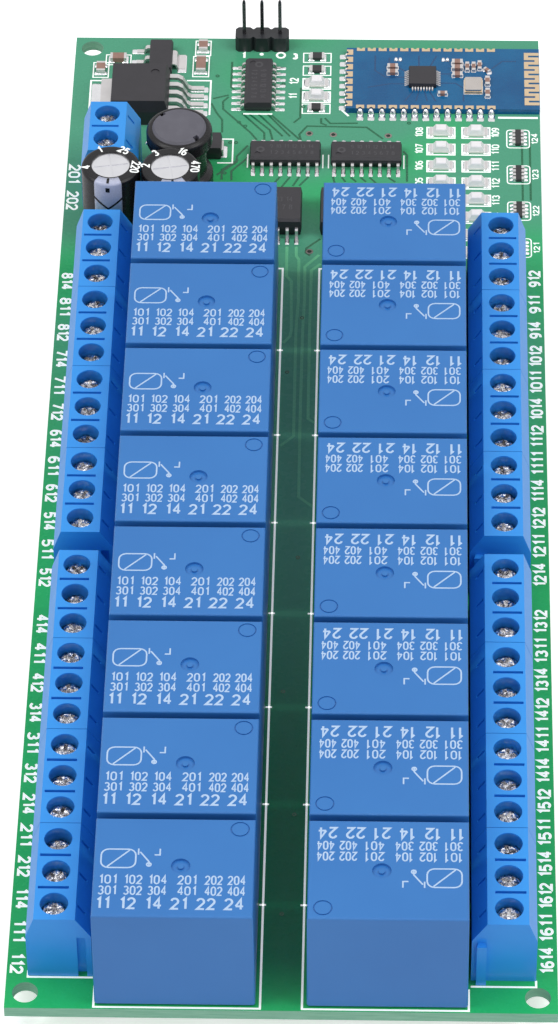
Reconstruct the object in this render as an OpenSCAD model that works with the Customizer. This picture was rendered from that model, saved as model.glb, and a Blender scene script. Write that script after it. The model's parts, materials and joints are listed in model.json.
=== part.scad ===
/* [Board] */
// Width of the main board, across the two rows of screw terminals
board_w = 66; // [66:1:90]
// Length of the main board
board_l = 178; // [178:1:230]
// Thickness of the main board
board_t = 1.6; // [1:0.1:2.4]
// Diameter of the mounting holes
mount_hole_d = 3.1; // [2.2:0.1:3.6]
// Distance from the board's edges to the centre of a mounting hole
mount_inset = 2.4; // [2.2:0.1:2.7]
// Length of the terminal pins below the board
pin_out = 2.2; // [1.8:0.1:4]

/* [Relays] */
// Length of a relay case at its foot, across the board
relay_l = 19.2; // [15.9:0.05:19.8]
// Width of a relay case at its foot, along the board
relay_w = 15.45; // [13.5:0.05:15.8]
// Height of a relay above the board
relay_h = 16.3; // [12:0.1:22]
// Distance between neighbouring relays in a bank
relay_pitch = 16.2; // [16:0.05:16.25]
// Distance from the board's front edge to the first relay
relay_front = 0.6; // [0.3:0.05:1]
// Inward lean of each case wall from foot to top
relay_draft = 0.1; // [0:0.02:0.3]
// Height of the relay's feet, which keep its base off the board
relay_standoff = 0.3; // [0.2:0.1:0.8]
// Width of a relay's blade pins
relay_blade_w = 1; // [0.6:0.1:1.2]
// Thickness of a relay's blade pins
relay_blade_t = 0.5; // [0.3:0.1:0.8]

/* [Screw terminals] */
// Distance between neighbouring poles
pole_pitch = 5.08; // [4.2:0.01:5.1]
// Depth of a terminal housing, from its wire side to its rear
term_d = 7.8; // [7.4:0.05:8]
// Height of a terminal housing
term_h = 10.4; // [9.8:0.1:13]
// Width of the bare strip between the board's edge and the terminals
label_strip = 2.6; // [2.4:0.1:4]
// Gap between a terminal housing and the relays behind it
term_gap = 0.35; // [0.2:0.05:1]
// Distance from the board's front edge to the first housing
term_front = 4.95; // [4.6:0.05:5.4]
// Gap between the two groups of housings on one side
group_gap = 3.14; // [2.2:0.02:3.2]
// Diameter of the screw wells in the tops of the housings
well_d = 3.4; // [2.9:0.05:3.7]
// Diameter of the terminal screws' heads
head_d = 3.1; // [2.6:0.05:3.3]
// Diameter of the terminal screws' shanks
shank_d = 2.5; // [2:0.1:2.6]
// How far the clamp screws are backed out from the floors of their wells
screw_lift = 0.6; // [0:0.05:1]
// Wall between the wire entries of neighbouring poles
entry_wall = 1.2; // [0.8:0.05:1.6]
// Width of the hairline seam between interlocked housings
seam = 0.08; // [0.04:0.02:0.2]
// Clearance between a dovetail tongue and its groove
tongue_clear = 0.06; // [0.04:0.02:0.12]

/* [Parts at the rear end] */
// Diameter of the electrolytic capacitors over their sleeves
cap_d = 8; // [6.3:0.1:8.1]
// Height of the electrolytic capacitors above the board
cap_h = 11.6; // [9:0.1:16]
// Diameter of the round inductor over its sleeve
coil_d = 9.1; // [7:0.1:9.1]
// Height of the round inductor above the board
coil_h = 10.6; // [6:0.1:15]
// How far the inductor's sleeve is drawn in between its flanges
coil_waist = 0.9; // [0:0.05:1.4]
// Length of the radio board
radio_l = 27.3; // [25.8:0.1:28.4]
// Width of the radio board
radio_w = 13.05; // [12.8:0.05:13.4]
// Thickness of the radio board
radio_t = 0.9; // [0.6:0.1:1.2]
// Distance between neighbouring edge pads of the radio board
radio_pitch = 1.54; // [1.5:0.01:1.56]
// Distance between neighbouring pins of the plug header
header_pitch = 2.54; // [2:0.01:2.54]
// Distance between neighbouring signal lamps
lamp_pitch = 3.53; // [2.4:0.01:3.6]

/* [Hidden] */
$fn = 32;
eps = 0.01;
side = board_w / 2;
front = -board_l / 2;
rear = board_l / 2;
z_top = pin_out + board_t;                 // upper face of the main board

// relays
relay_rows = 8;
relay_top_r = 0.3;
relay_corner_r = 0.35;
relay_base_t = 1.6;
relay_wall = 0.8;
relay_fit = 0.04;                          // gap between a case and its base
relay_pin_len = 3.4;                       // below the base
relay_blade_in = [2.5, 4.5];               // from the ends of the case to the two rows of blades
relay_blade_y = relay_w / 2 - 1.725;
relay_gate_at = [relay_l / 2 - 1.94, relay_blade_y];    // moulding mark near a corner of the top
relay_gate_r = 1.15;
relay_vent_at = [0.79, 0.2];               // sealing dimple near the middle of the top
relay_mark_depth = 0.15;
relay_vent_depth = 0.35;
relay_pip_r = 0.35;                        // raised pip in the dimple
relay_blades = [[relay_l / 2 - relay_blade_in[0], 0],
    for (y = [-1, 1]) [relay_l / 2 - relay_blade_in[1], y * relay_blade_y],
    for (y = [-1, 1]) [-relay_l / 2 + relay_blade_in[0], y * relay_blade_y]];
bank_x = side - label_strip - term_d - term_gap - relay_l / 2;

// screw terminals
poles = 3;
blocks = 4;
block_l = poles * pole_pitch;
shoulder_z = 7.3;                          // where the slopes of the top begin
outer_slope = 1.05;
inner_slope = 1.8;
floor_t = 0.9;
pocket_h = 5.6;
pocket_d = 5.95;
well_x = 3.4;                              // from the wire side
well_floor = 7.2;
head_h = 1.45;
screw_backs = [1, 0.9, 0.3, 1, 0.7, 1, 0.95, 0.45];     // shares of screw_lift, in turn
screw_turn = 53;                           // turn from one screw to the next
slot_size = [3.7, 0.4, 0.9];               // line slots between the poles
slot_in = 0.3;                             // from the edge of the top
relief_w = 0.4;                            // slots in the rear slope
relief_depth = 0.5;
relief_from = 0.1;                         // shares of the way down the slope
relief_to = 0.6;
screw_clear = 0.05;
entry_w = pole_pitch - entry_wall;
cage_clear = 0.1;
cage_wall = 0.55;
cage_x = [1.4, 5.2];
cage_z = [1.6, 6.2];
tongue_l = 0.75;
tongue_x = term_d - 1.2;                   // centre of the dovetail
tongue_neck = 0.9;
tongue_head = 1.2;
contact_t = 0.5;
contact_w = 2.2;
contact_x = pocket_d - 0.1;                // rear face of the contact's leg
contact_z = [3.9, 4.4];
contact_pin_w = 0.9;
power_poles = 2;
power_inset = label_strip;
power_y = rear - 36;                       // front end of the power terminal

// through-hole pins and their drilled holes
hole_clear = 0.15;
relay_hole_r = relay_blade_w / 2 + hole_clear;
contact_hole_r = contact_pin_w / 2 + hole_clear + 0.05;
header_pin_w = 0.5;
header_hole_r = header_pin_w * 0.75 + hole_clear / 2;
cap_lead_r = 0.3;
cap_hole_r = cap_lead_r + hole_clear;
solder_h = 0.9;
solder_spread = 0.55;
pin_end = 0.5;                             // pin length past the solder

// places at the rear end, from the left edge, the right edge or the middle, and from the rear edge
header_at = [-6.38, rear - 1.65];
small_reg_at = [-side + 12.3, rear - 5.4];
power_reg_at = [-side + 9.7, rear - 14.66];
coil_at = [-side + 15.98, rear - 31];
diode_at = [-side + 19.35, rear - 24.4];
cap_at = [[-side + 7, rear - 40.25], [-side + 15.1, rear - 40.5]];
logic_at = [[-2.62, rear - 25.6], [8.67, rear - 25.6]];
control_at = [-6.7, rear - 10.95];
driver_at = [[-5.83, rear - 38.1], [8.2, rear - 38.1]];
resistor_at = [[1.5, rear - 4.1], [1.5, rear - 6.9], [1.5, rear - 15.1]];
status_lamp_at = [[1.5, rear - 9.75], [1.5, rear - 12.6]];
lamp_x = [side - 13.92, side - 9.02];
lamp_y = rear - 20;
array_x = side - 3.13;
array_y = rear - 21.2;
array_pitch = 7.5;
via_at = [[1.08, rear - 44.8], [0.64, rear - 20.4], [4, rear - 20.6], [11.7, rear - 20.75]];
via_r = 0.3;
// centre, length, width and turn of each ceramic chip capacitor
chip_cap_at = [[-side + 6.2, rear - 4.85, 2.3, 1.25, 0], [-side + 3.8, rear - 7.1, 2, 1.25, 90],
    [-side + 18.2, rear - 2.2, 2, 1.25, 90], [-side + 18, rear - 6.2, 3.2, 1.35, 90]];

// electrolytic capacitors
sleeve_t = 0.2;
sleeve_lip = 1.4;
can_r = cap_d / 2 - sleeve_t;
bung_r = can_r - 0.4;
bung_h = 1.4;
cap_foot = 0.3;
cap_lead_gap = 3.5;

// inductor
coil_flange_t = 1.7;
coil_wall = 0.4;                           // sleeve
coil_rim = 0.38;                           // how far the sleeve folds over the upper flange
coil_crown = 0.3;                          // height of the core's face over the fold
coil_fold_r = 0.7;
coil_ease = 0.1;                           // straight part of the sleeve past each flange
coil_bend = 0.2;                           // share of the waist's height taken by each bend
coil_notch = [0.65, 0.8];                  // depth and width of the notches in the core's face
coil_post_r = 2;
coil_foot = 0.3;
coil_gap = 0.05;
coil_lead_gap = 5;
coil_lead_r = 0.35;
coil_hole_r = coil_lead_r + hole_clear;

// small outline packages: length, width, height, lead pitch, leads a side, span over the leads
so16 = [9.9, 3.9, 1.5, 1.27, 8, 6.0];
so18 = [11.55, 7.1, 2.7, 1.27, 9, 9.7];
so_lift = 0.12;
so_lead = [0.4, 0.2];                      // width and thickness
so_bevel = 0.3;
so_lean = 0.18;

// chip parts: width and height
chip_w = 1.25;
chip_h = 0.55;
chip_cap_h = 0.85;
chip_end = 0.35;
lamp_size = [3.2, 1.6, 0.35];
lamp_lens = [2.4, 1.5, 0.85];
lamp_lean = 0.4;                           // slope of the lens's ends
array_size = [1.6, 2.95, 0.5];
array_end = 0.4;

// radio board
radio_x = side - radio_l / 2;
radio_y = rear - 9.42;
radio_pads_long = 13;
radio_pads_end = 8;
radio_pad = [1.15, 0.7, 0.05];
radio_end_pad_l = 0.9;
radio_end_pitch = 1.58;
radio_notch_r = 0.25;
radio_first = 2;                           // first long-side pad from the end of the board
aerial_t = 0.05;
aerial_bars = 12;
aerial_w = 0.6;
aerial_l = 2.1;
aerial_span = 11.3;
radio_chip_at = [-2.88, -0.22];
radio_chip_size = [3.9, 3.9, 0.85];
radio_crystal_at = [4.29, -1.8];
radio_crystal_size = [2.55, 3, 0.7];
// centre from the radio board's centre, length, width, height and turn of each chip part
radio_parts = [[-7.12, 2.2, 1.5, 0.8, 0.55, 0], [-7.12, 1.0, 1.5, 0.8, 0.55, 0],
    [2.05, 3.2, 1.55, 0.85, 0.6, 0], [2.05, 2.0, 1.55, 0.85, 0.6, 0],
    [2.05, 0.6, 1.45, 0.8, 0.5, 0], [3.45, 2.3, 1.8, 0.55, 0.45, 90],
    [4.35, 2.3, 1.8, 0.55, 0.45, 90], [5.2, 2.6, 1.8, 0.55, 0.45, 90],
    [6.25, 1.6, 1.1, 0.5, 0.45, -45], [6.3, -0.7, 1.8, 0.65, 0.45, 90],
    [6.3, -3.3, 1.8, 0.65, 0.45, 90], [-0.05, -3.5, 1.3, 0.6, 0.5, 0]];

// Centre of relay k of a bank, counted from the front; s is -1 for the left bank, 1 for the right
function relay_at(s, k) =
    [s * bank_x, front + relay_front + relay_w / 2 + k * relay_pitch];

// Place of pole i of a side, counted from the front
function pole_y(i) = front + term_front + (i + 0.5) * pole_pitch
    + floor(i / (poles * blocks)) * group_gap;

// Points of an arc, for profiles
function arc(cx, cy, r, a0, a1, n) =
    [for (i = [0:n]) let (a = a0 + (a1 - a0) * i / n) [cx + r * cos(a), cy + r * sin(a)]];

// Profile of a case wall to wall: leaning sides and rounded shoulders
function case_profile(foot, lean, z0, z1, r) = concat(
    [[-foot / 2, z0], [foot / 2, z0]],
    arc(foot / 2 - lean - r, z1 - r, r, 0, 90, 5),
    arc(-foot / 2 + lean + r, z1 - r, r, 90, 180, 5));

module rounded_slab(l, w, h, r) {
    linear_extrude(h) union() {
        square([l - 2 * r, w], center = true);
        square([l, w - 2 * r], center = true);
        for (x = [-1, 1], y = [-1, 1])
            translate([x * (l / 2 - r), y * (w / 2 - r)]) circle(r);
    }
}

// Extrudes a profile drawn in X and Z along Y, centred
module along_y(len) {
    translate([0, len / 2, 0]) rotate([90, 0, 0]) linear_extrude(len) children();
}

// The same along X, for a profile drawn in Y and Z
module along_x(len) {
    rotate([0, 0, 90]) along_y(len) children();
}

module block(x, y, z, w, d, h) {
    translate([x - w / 2, y - d / 2, z]) cube([w, d, h]);
}

// Turns a left-hand shape into its place on side s: the right side is the left turned half round
module on_side(s) {
    rotate([0, 0, s < 0 ? 0 : 180]) children();
}

// ---- main board ----

module relay_holes(s) {
    for (k = [0:relay_rows - 1], b = relay_blades)
        translate(relay_at(s, k)) rotate([0, 0, s < 0 ? 0 : 180]) translate(b)
            translate([0, 0, pin_out - 1]) cylinder(r = relay_hole_r, h = board_t + 2);
}

module contact_holes() {
    for (s = [-1, 1], i = [0:2 * poles * blocks - 1])
        translate([s * (side - label_strip - contact_x + contact_t / 2), pole_y(i), pin_out - 1])
            cylinder(r = contact_hole_r, h = board_t + 2);
    for (i = [0:power_poles - 1])
        translate([-side + power_inset + contact_x - contact_t / 2,
            power_y + (i + 0.5) * pole_pitch, pin_out - 1])
            cylinder(r = contact_hole_r, h = board_t + 2);
}

module mount_holes() {
    for (p = [[-1, front + mount_inset], [1, front + mount_inset], [-1, rear - mount_inset]])
        translate([p[0] * (side - mount_inset), p[1], pin_out - 1])
            cylinder(d = mount_hole_d, h = board_t + 2);
}

module main_board() {
    color([0.12, 0.60, 0.37]) difference() {
        translate([-side, front, pin_out]) cube([board_w, board_l, board_t]);
        mount_holes();
        relay_holes(-1);
        relay_holes(1);
        contact_holes();
        for (i = [-1:1])
            translate([header_at[0] + i * header_pitch, header_at[1], pin_out - 1])
                cylinder(r = header_hole_r, h = board_t + 2);
        for (c = cap_at, i = [-1, 1])
            translate([c[0] + i * cap_lead_gap / 2, c[1], pin_out - 1])
                cylinder(r = cap_hole_r, h = board_t + 2);
        for (i = [-1, 1])
            translate([coil_at[0], coil_at[1] + i * coil_lead_gap / 2, pin_out - 1])
                cylinder(r = coil_hole_r, h = board_t + 2);
        for (v = via_at) translate([v[0], v[1], pin_out - 1]) cylinder(r = via_r, h = board_t + 2);
    }
}

// ---- relays ----

module relay_case() {
    difference() {
        intersection() {
            rounded_slab(relay_l, relay_w, relay_h, relay_corner_r);
            along_y(relay_w) polygon(
                case_profile(relay_l, relay_draft, relay_standoff, relay_h, relay_top_r));
            along_x(relay_l) polygon(
                case_profile(relay_w, relay_draft, relay_standoff, relay_h, relay_top_r));
        }
        translate([0, 0, -eps]) rounded_slab(relay_l - 2 * relay_wall, relay_w - 2 * relay_wall,
            relay_standoff + relay_base_t + eps, relay_corner_r / 2);
        translate([relay_gate_at[0], relay_gate_at[1], relay_h - relay_mark_depth])
            difference() {
                cylinder(r = relay_gate_r, h = 1);
                translate([0, 0, -1]) cylinder(r = relay_gate_r - 0.18, h = 3);
            }
        translate([relay_vent_at[0], relay_vent_at[1], relay_h - relay_vent_depth]) difference() {
            cylinder(r = relay_gate_r, h = 1);
            translate([0, 0, -1]) cylinder(r = relay_pip_r, h = 1 + relay_vent_depth - 0.1);
        }
    }
}

module relay_base() {
    l = relay_l - 2 * (relay_wall + relay_fit);
    w = relay_w - 2 * (relay_wall + relay_fit);
    difference() {
        union() {
            translate([0, 0, relay_standoff])
                rounded_slab(l, w, relay_base_t, relay_corner_r / 2 - relay_fit);
            for (x = [-1, 1], y = [-1, 1])
                translate([x * (l / 2 - 1.6), y * (w / 2 - 3.4), 0])
                    cylinder(r = 0.7, h = relay_standoff + eps);
        }
        for (b = relay_blades)
            block(b[0], b[1], -1, relay_blade_t + 2 * relay_fit, relay_blade_w + 2 * relay_fit,
                relay_base_t + 3);
    }
}

module relay_blade_set() {
    for (b = relay_blades)
        block(b[0], b[1], relay_standoff - relay_pin_len, relay_blade_t, relay_blade_w,
            relay_pin_len + relay_base_t);
}

module relay_bank(s) {
    for (k = [0:relay_rows - 1])
        translate([relay_at(s, k)[0], relay_at(s, k)[1], z_top]) on_side(s) children();
}

module relay_cases_left() { color([0.29, 0.53, 0.82]) relay_bank(-1) relay_case(); }
module relay_cases_right() { color([0.29, 0.53, 0.82]) relay_bank(1) relay_case(); }
module relay_bases_left() { color([0.16, 0.30, 0.55]) relay_bank(-1) relay_base(); }
module relay_bases_right() { color([0.16, 0.30, 0.55]) relay_bank(1) relay_base(); }
module relay_pins_left() { color([0.80, 0.79, 0.76]) relay_bank(-1) relay_blade_set(); }
module relay_pins_right() { color([0.80, 0.79, 0.76]) relay_bank(1) relay_blade_set(); }

// ---- screw terminals ----

// Section of a housing, wire side at x = 0
function housing_section() = [[0, 0], [term_d, 0], [term_d, shoulder_z],
    [term_d - inner_slope, term_h], [outer_slope, term_h], [0, shoulder_z]];

// Point of a housing's rear slope: share t of the way down, lifted off it by o
function on_slope(t, o) = let (drop = term_h - shoulder_z, l = norm([inner_slope, drop]))
    [term_d - inner_slope * (1 - t) + drop / l * o, term_h - drop * t + inner_slope / l * o];

module dovetail(clear, h) {
    linear_extrude(h) polygon([
        [tongue_x - tongue_neck / 2 - clear, -eps], [tongue_x + tongue_neck / 2 + clear, -eps],
        [tongue_x + tongue_head / 2 + clear, tongue_l + clear],
        [tongue_x - tongue_head / 2 - clear, tongue_l + clear]]);
}

// Screw well, neck, clamp pocket and contact slot of one pole, centred on y = 0
module pole_hollow() {
    translate([well_x, 0, well_floor]) cylinder(d = well_d, h = term_h);
    translate([well_x, 0, floor_t + pocket_h - eps])
        cylinder(d = shank_d + 4 * screw_clear, h = well_floor);
    translate([-1, -entry_w / 2, floor_t]) cube([pocket_d + 1, entry_w, pocket_h]);
    block(contact_x - contact_t / 2, 0, -1, contact_t + 2 * screw_clear,
        contact_pin_w + 2 * screw_clear, 2 + floor_t);
    // narrow relief in the rear slope
    along_y(relief_w) polygon([on_slope(relief_from, -relief_depth), on_slope(relief_from, 0.3),
        on_slope(relief_to, 0.3), on_slope(relief_to, -relief_depth)]);
}

// One moulded housing of n poles: a groove at its front end, a tongue at its rear end
module housing(n) {
    l = n * pole_pitch;
    difference() {
        union() {
            translate([0, l / 2, 0]) along_y(l - seam) polygon(housing_section());
            translate([0, l - seam / 2, 0]) dovetail(0, shoulder_z - 0.3);
        }
        translate([0, -seam / 2, -1]) dovetail(tongue_clear, shoulder_z + 0.8);
        for (i = [0:n - 1]) translate([0, (i + 0.5) * pole_pitch, 0]) pole_hollow();
        // line slots across the top, between the poles
        for (i = [1:n - 1])
            block(outer_slope + slot_in + slot_size[0] / 2, i * pole_pitch,
                term_h - slot_size[2], slot_size[0], slot_size[1], 1);
    }
}

module housing_group(s, g) {
    y = pole_y(g * poles * blocks) - pole_pitch / 2;
    for (b = [0:blocks - 1])
        translate([s * (side - label_strip), y + (s < 0 ? b : b + 1) * block_l, z_top])
            on_side(s) housing(poles);
}

// Puts a shape drawn for one pole at every pole of the board
module at_poles() {
    for (s = [-1, 1], i = [0:2 * poles * blocks - 1])
        translate([s * (side - label_strip), pole_y(i), z_top]) on_side(s) {
            $pole = i;
            children();
        }
    for (i = [0:power_poles - 1])
        translate([-side + power_inset, power_y + (i + 0.5) * pole_pitch, z_top]) {
            $pole = i;
            children();
        }
}

// Domed head with a cross recess, and the threaded shank, drawn as a plain rod that ends flush
// below the cage's upper wall
module screw() {
    shank_z = cage_z[1] - cage_wall;
    head_z = well_floor + screw_lift * screw_backs[$pole % len(screw_backs)];
    translate([well_x, 0, head_z]) rotate([0, 0, $pole * screw_turn]) difference() {
        rotate_extrude() polygon([[0, 0], [head_d / 2, 0], [head_d / 2, head_h - 0.45],
            [head_d / 2 - 0.2, head_h - 0.2], [head_d / 2 - 0.6, head_h], [0, head_h]]);
        for (a = [0, 90]) rotate([0, 0, a])
            translate([-head_d * 0.36, -0.25, head_h - 0.65]) cube([head_d * 0.72, 0.5, 1]);
    }
    translate([well_x, 0, shank_z]) cylinder(d = shank_d, h = head_z - shank_z + 0.1);
}

// Clamp cage: a square tube for the wire, with the threaded hole in its upper wall
module cage() {
    w = entry_w - 2 * cage_clear;
    l = cage_x[1] - cage_x[0];
    h = cage_z[1] - cage_z[0];
    difference() {
        translate([cage_x[0], -w / 2, cage_z[0]]) cube([l, w, h]);
        translate([cage_x[0] - 1, -w / 2 + cage_wall, cage_z[0] + cage_wall])
            cube([l + 2, w - 2 * cage_wall, h - 2 * cage_wall]);
        translate([well_x, 0, cage_z[1] - 1]) cylinder(d = shank_d + 2 * screw_clear, h = 2);
    }
}

// Contact: a tongue through the cage, a leg behind it and the pin through the board
module contact() {
    w = min(contact_w, entry_w - 2 * (cage_clear + cage_wall + screw_clear));
    translate([cage_x[0], -w / 2, contact_z[0]])
        cube([contact_x - cage_x[0], w, contact_z[1] - contact_z[0]]);
    translate([contact_x - contact_t, -w / 2, floor_t])
        cube([contact_t, w, contact_z[0] - floor_t + eps]);
    block(contact_x - contact_t / 2, 0, -z_top, contact_t, contact_pin_w, z_top + floor_t + eps);
}

module terminals_left_front() { color([0.24, 0.61, 0.94]) housing_group(-1, 0); }
module terminals_left_rear() { color([0.24, 0.61, 0.94]) housing_group(-1, 1); }
module terminals_right_front() { color([0.24, 0.61, 0.94]) housing_group(1, 0); }
module terminals_right_rear() { color([0.24, 0.61, 0.94]) housing_group(1, 1); }
module terminal_power() {
    color([0.24, 0.61, 0.94])
        translate([-side + power_inset, power_y, z_top]) housing(power_poles);
}
module terminal_screws() { color([0.83, 0.83, 0.82]) at_poles() screw(); }
module terminal_cages() { color([0.74, 0.74, 0.72]) at_poles() cage(); }
module terminal_contacts() { color([0.78, 0.76, 0.70]) at_poles() contact(); }

// ---- solder below the board ----

module solder_cone(hole_r) {
    translate([0, 0, pin_out - solder_h])
        cylinder(r1 = hole_r * 0.7 + 0.1, r2 = hole_r + solder_spread, h = solder_h);
}

module solder_joints() {
    color([0.82, 0.83, 0.84]) {
        for (s = [-1, 1], k = [0:relay_rows - 1], b = relay_blades)
            translate(relay_at(s, k)) on_side(s) translate(b) difference() {
                solder_cone(relay_hole_r);
                block(0, 0, 0, relay_blade_t, relay_blade_w, z_top);
            }
        for (s = [-1, 1], i = [0:2 * poles * blocks - 1])
            translate([s * (side - label_strip - contact_x + contact_t / 2), pole_y(i), 0])
                contact_solder();
        for (i = [0:power_poles - 1])
            translate([-side + power_inset + contact_x - contact_t / 2,
                power_y + (i + 0.5) * pole_pitch, 0]) contact_solder();
        for (i = [-1:1])
            translate([header_at[0] + i * header_pitch, header_at[1], 0]) difference() {
                solder_cone(header_hole_r);
                block(0, 0, 0, header_pin_w, header_pin_w, z_top);
            }
        for (c = cap_at, i = [-1, 1])
            translate([c[0] + i * cap_lead_gap / 2, c[1], 0]) difference() {
                solder_cone(cap_hole_r);
                cylinder(r = cap_lead_r, h = z_top);
            }
        for (i = [-1, 1])
            translate([coil_at[0], coil_at[1] + i * coil_lead_gap / 2, 0]) difference() {
                solder_cone(coil_hole_r);
                cylinder(r = coil_lead_r, h = z_top);
            }
    }
}

module contact_solder() {
    difference() {
        solder_cone(contact_hole_r);
        block(0, 0, 0, contact_t, contact_pin_w, z_top);
    }
}

// ---- plug header ----

header_d = 2.5;
header_h = 2.5;
header_pin_top = 8.5;
header_cut = 0.45;

module header_body() {
    p = header_pitch / 2;
    color([0.16, 0.16, 0.18]) difference() {
        translate([header_at[0], header_at[1], z_top]) linear_extrude(header_h)
            for (i = [-1:1]) translate([i * header_pitch, 0])
                polygon([[-p, -header_d / 2 + header_cut], [-p + header_cut, -header_d / 2],
                    [p - header_cut, -header_d / 2], [p, -header_d / 2 + header_cut],
                    [p, header_d / 2 - header_cut], [p - header_cut, header_d / 2],
                    [-p + header_cut, header_d / 2], [-p, header_d / 2 - header_cut]]);
        for (i = [-1:1])
            block(header_at[0] + i * header_pitch, header_at[1], z_top - 1,
                header_pin_w, header_pin_w, header_h + 2);
    }
}

// Square pins with pointed ends
module header_pins() {
    tip = 0.5;
    w = header_pin_w / 2;
    color([0.72, 0.70, 0.62]) for (i = [-1:1])
        translate([header_at[0] + i * header_pitch, header_at[1], 0]) intersection() {
            along_y(2) polygon([[-w / 2, pin_end], [w / 2, pin_end], [w, pin_end + tip],
                [w, z_top + header_pin_top - tip], [w / 2, z_top + header_pin_top],
                [-w / 2, z_top + header_pin_top], [-w, z_top + header_pin_top - tip],
                [-w, pin_end + tip]]);
            along_x(2) polygon([[-w / 2, pin_end], [w / 2, pin_end], [w, pin_end + tip],
                [w, z_top + header_pin_top - tip], [w / 2, z_top + header_pin_top],
                [-w / 2, z_top + header_pin_top], [-w, z_top + header_pin_top - tip],
                [-w, pin_end + tip]]);
        }
}

// ---- packages with gull-wing leads ----

// Moulded body centred on the origin: leaning sides above and below a flat band for the leads
module moulded_body(l, w, h, lift, lean, bevel) {
    mid = lift + h / 2;
    band = so_lead[1] / 2;
    intersection() {
        along_x(l) polygon([[-w / 2 + lean, lift], [w / 2 - lean, lift], [w / 2, mid - band],
            [w / 2, mid + band], [w / 2 - lean, lift + h],
            [-w / 2 + lean + bevel, lift + h], [-w / 2 + lean * 0.6, lift + h - bevel],
            [-w / 2, mid + band], [-w / 2, mid - band]]);
        along_y(w) polygon([[-l / 2 + lean, lift], [l / 2 - lean, lift], [l / 2, mid - band],
            [l / 2, mid + band], [l / 2 - lean, lift + h], [-l / 2 + lean, lift + h],
            [-l / 2, mid + band], [-l / 2, mid - band]]);
    }
}

// Gull-wing lead that leaves a body face at y = 0 and runs to y = -reach
module gull_lead(reach, root_z, thick, wide, foot) {
    bend = thick * 0.7;
    y1 = reach - foot;
    along_x(wide) polygon([[0, root_z + thick / 2], [0, root_z - thick / 2],
        [-y1 * 0.35, root_z - thick / 2], [-y1 * 0.5, root_z - thick / 2 - bend],
        [-y1 * 0.75, bend], [-y1, 0], [-reach, 0], [-reach, thick],
        [-y1 - bend * 0.4, thick], [-y1 * 0.75 - thick, bend + thick],
        [-y1 * 0.5 - thick, root_z - thick / 2],
        [-y1 * 0.35 - bend * 0.4, root_z + thick / 2]]);
}

module so_body(p) {
    difference() {
        moulded_body(p[0], p[1], p[2], so_lift, so_lean, so_bevel);
        translate([-p[0] / 2 + 1.1, -p[1] / 2 + 1.1, so_lift + p[2] - 0.08])
            cylinder(r = 0.4, h = 1);
    }
}

module so_leads(p) {
    reach = (p[5] - p[1]) / 2;
    for (s = [0, 180], i = [0:p[4] - 1])
        rotate([0, 0, s]) translate([(i - (p[4] - 1) / 2) * p[3], -p[1] / 2, 0])
            gull_lead(reach, so_lift + p[2] / 2, so_lead[1], so_lead[0], reach * 0.55);
}

module at_logic() {
    for (c = logic_at) translate([c[0], c[1], z_top]) children();
    translate([control_at[0], control_at[1], z_top]) rotate([0, 0, -90]) children();
}

module at_drivers() {
    for (c = driver_at) translate([c[0], c[1], z_top]) children();
}

module driver_chip_bodies() { color([0.24, 0.23, 0.25]) at_drivers() so_body(so18); }
module driver_chip_leads() { color([0.80, 0.80, 0.80]) at_drivers() so_leads(so18); }
module logic_chip_bodies() { color([0.24, 0.23, 0.25]) at_logic() so_body(so16); }
module logic_chip_leads() { color([0.80, 0.80, 0.80]) at_logic() so_leads(so16); }

// ---- regulators ----

small_reg = [6.5, 3.3, 1.6];
small_reg_lead = [0.7, 0.25];
small_reg_pitch = 2.3;
small_reg_tab_w = 3.0;
power_reg = [8.85, 8.25, 4.35];
power_reg_tab = [8.5, 8.0, 1.27];
power_reg_tab_out = 1.5;
power_reg_lead = [0.8, 0.4];
power_reg_pitch = 1.7;
power_reg_reach = 4.8;
power_reg_root = 2.4;

// Both regulators are drawn with their leads towards -Y, then turned
module at_small_reg() {
    translate([small_reg_at[0], small_reg_at[1], z_top]) rotate([0, 0, -90]) children();
}

module small_regulator_body() {
    color([0.24, 0.23, 0.25]) at_small_reg()
        moulded_body(small_reg[0], small_reg[1], small_reg[2], so_lift, 0.2, 0.05);
}

module small_regulator_leads() {
    root = so_lift + small_reg[2] / 2;
    color([0.82, 0.82, 0.82]) at_small_reg() {
        for (i = [-1:1]) translate([i * small_reg_pitch, -small_reg[1] / 2, 0])
            gull_lead(1.85, root, so_lead[1], small_reg_lead[0], 1.0);
        rotate([0, 0, 180]) translate([0, -small_reg[1] / 2, 0])
            gull_lead(1.85, root, so_lead[1], small_reg_tab_w, 1.0);
    }
}

module at_power_reg() {
    translate([power_reg_at[0], power_reg_at[1], z_top]) rotate([0, 0, 90]) children();
}

module power_tab_plate() {
    translate([-power_reg_tab[0] / 2, power_reg[1] / 2 + power_reg_tab_out - power_reg_tab[1], 0])
        cube(power_reg_tab);
}

module power_regulator_body() {
    l = power_reg[0];
    w = power_reg[1];
    h = power_reg[2];
    color([0.24, 0.23, 0.25]) at_power_reg() difference() {
        intersection() {
            along_x(l) polygon([[-w / 2 + 0.2, 0.1], [w / 2, 0.1], [w / 2, 1.6],
                [w / 2 - 0.25, h], [-w / 2 + 0.5, h],
                [-w / 2, power_reg_root + 0.2], [-w / 2, power_reg_root - 0.2]]);
            along_y(w) polygon([[-l / 2 + 0.15, 0.1], [l / 2 - 0.15, 0.1],
                [l / 2, power_reg_root - 0.2], [l / 2, power_reg_root + 0.2],
                [l / 2 - 0.4, h], [-l / 2 + 0.4, h],
                [-l / 2, power_reg_root + 0.2], [-l / 2, power_reg_root - 0.2]]);
        }
        power_tab_plate();
        translate([l / 2 - 2.2, -w / 2 + 2.0, h - 0.12]) cylinder(r = 0.6, h = 1);
    }
}

module power_regulator_tab() {
    color([0.80, 0.79, 0.81]) at_power_reg() power_tab_plate();
}

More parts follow.
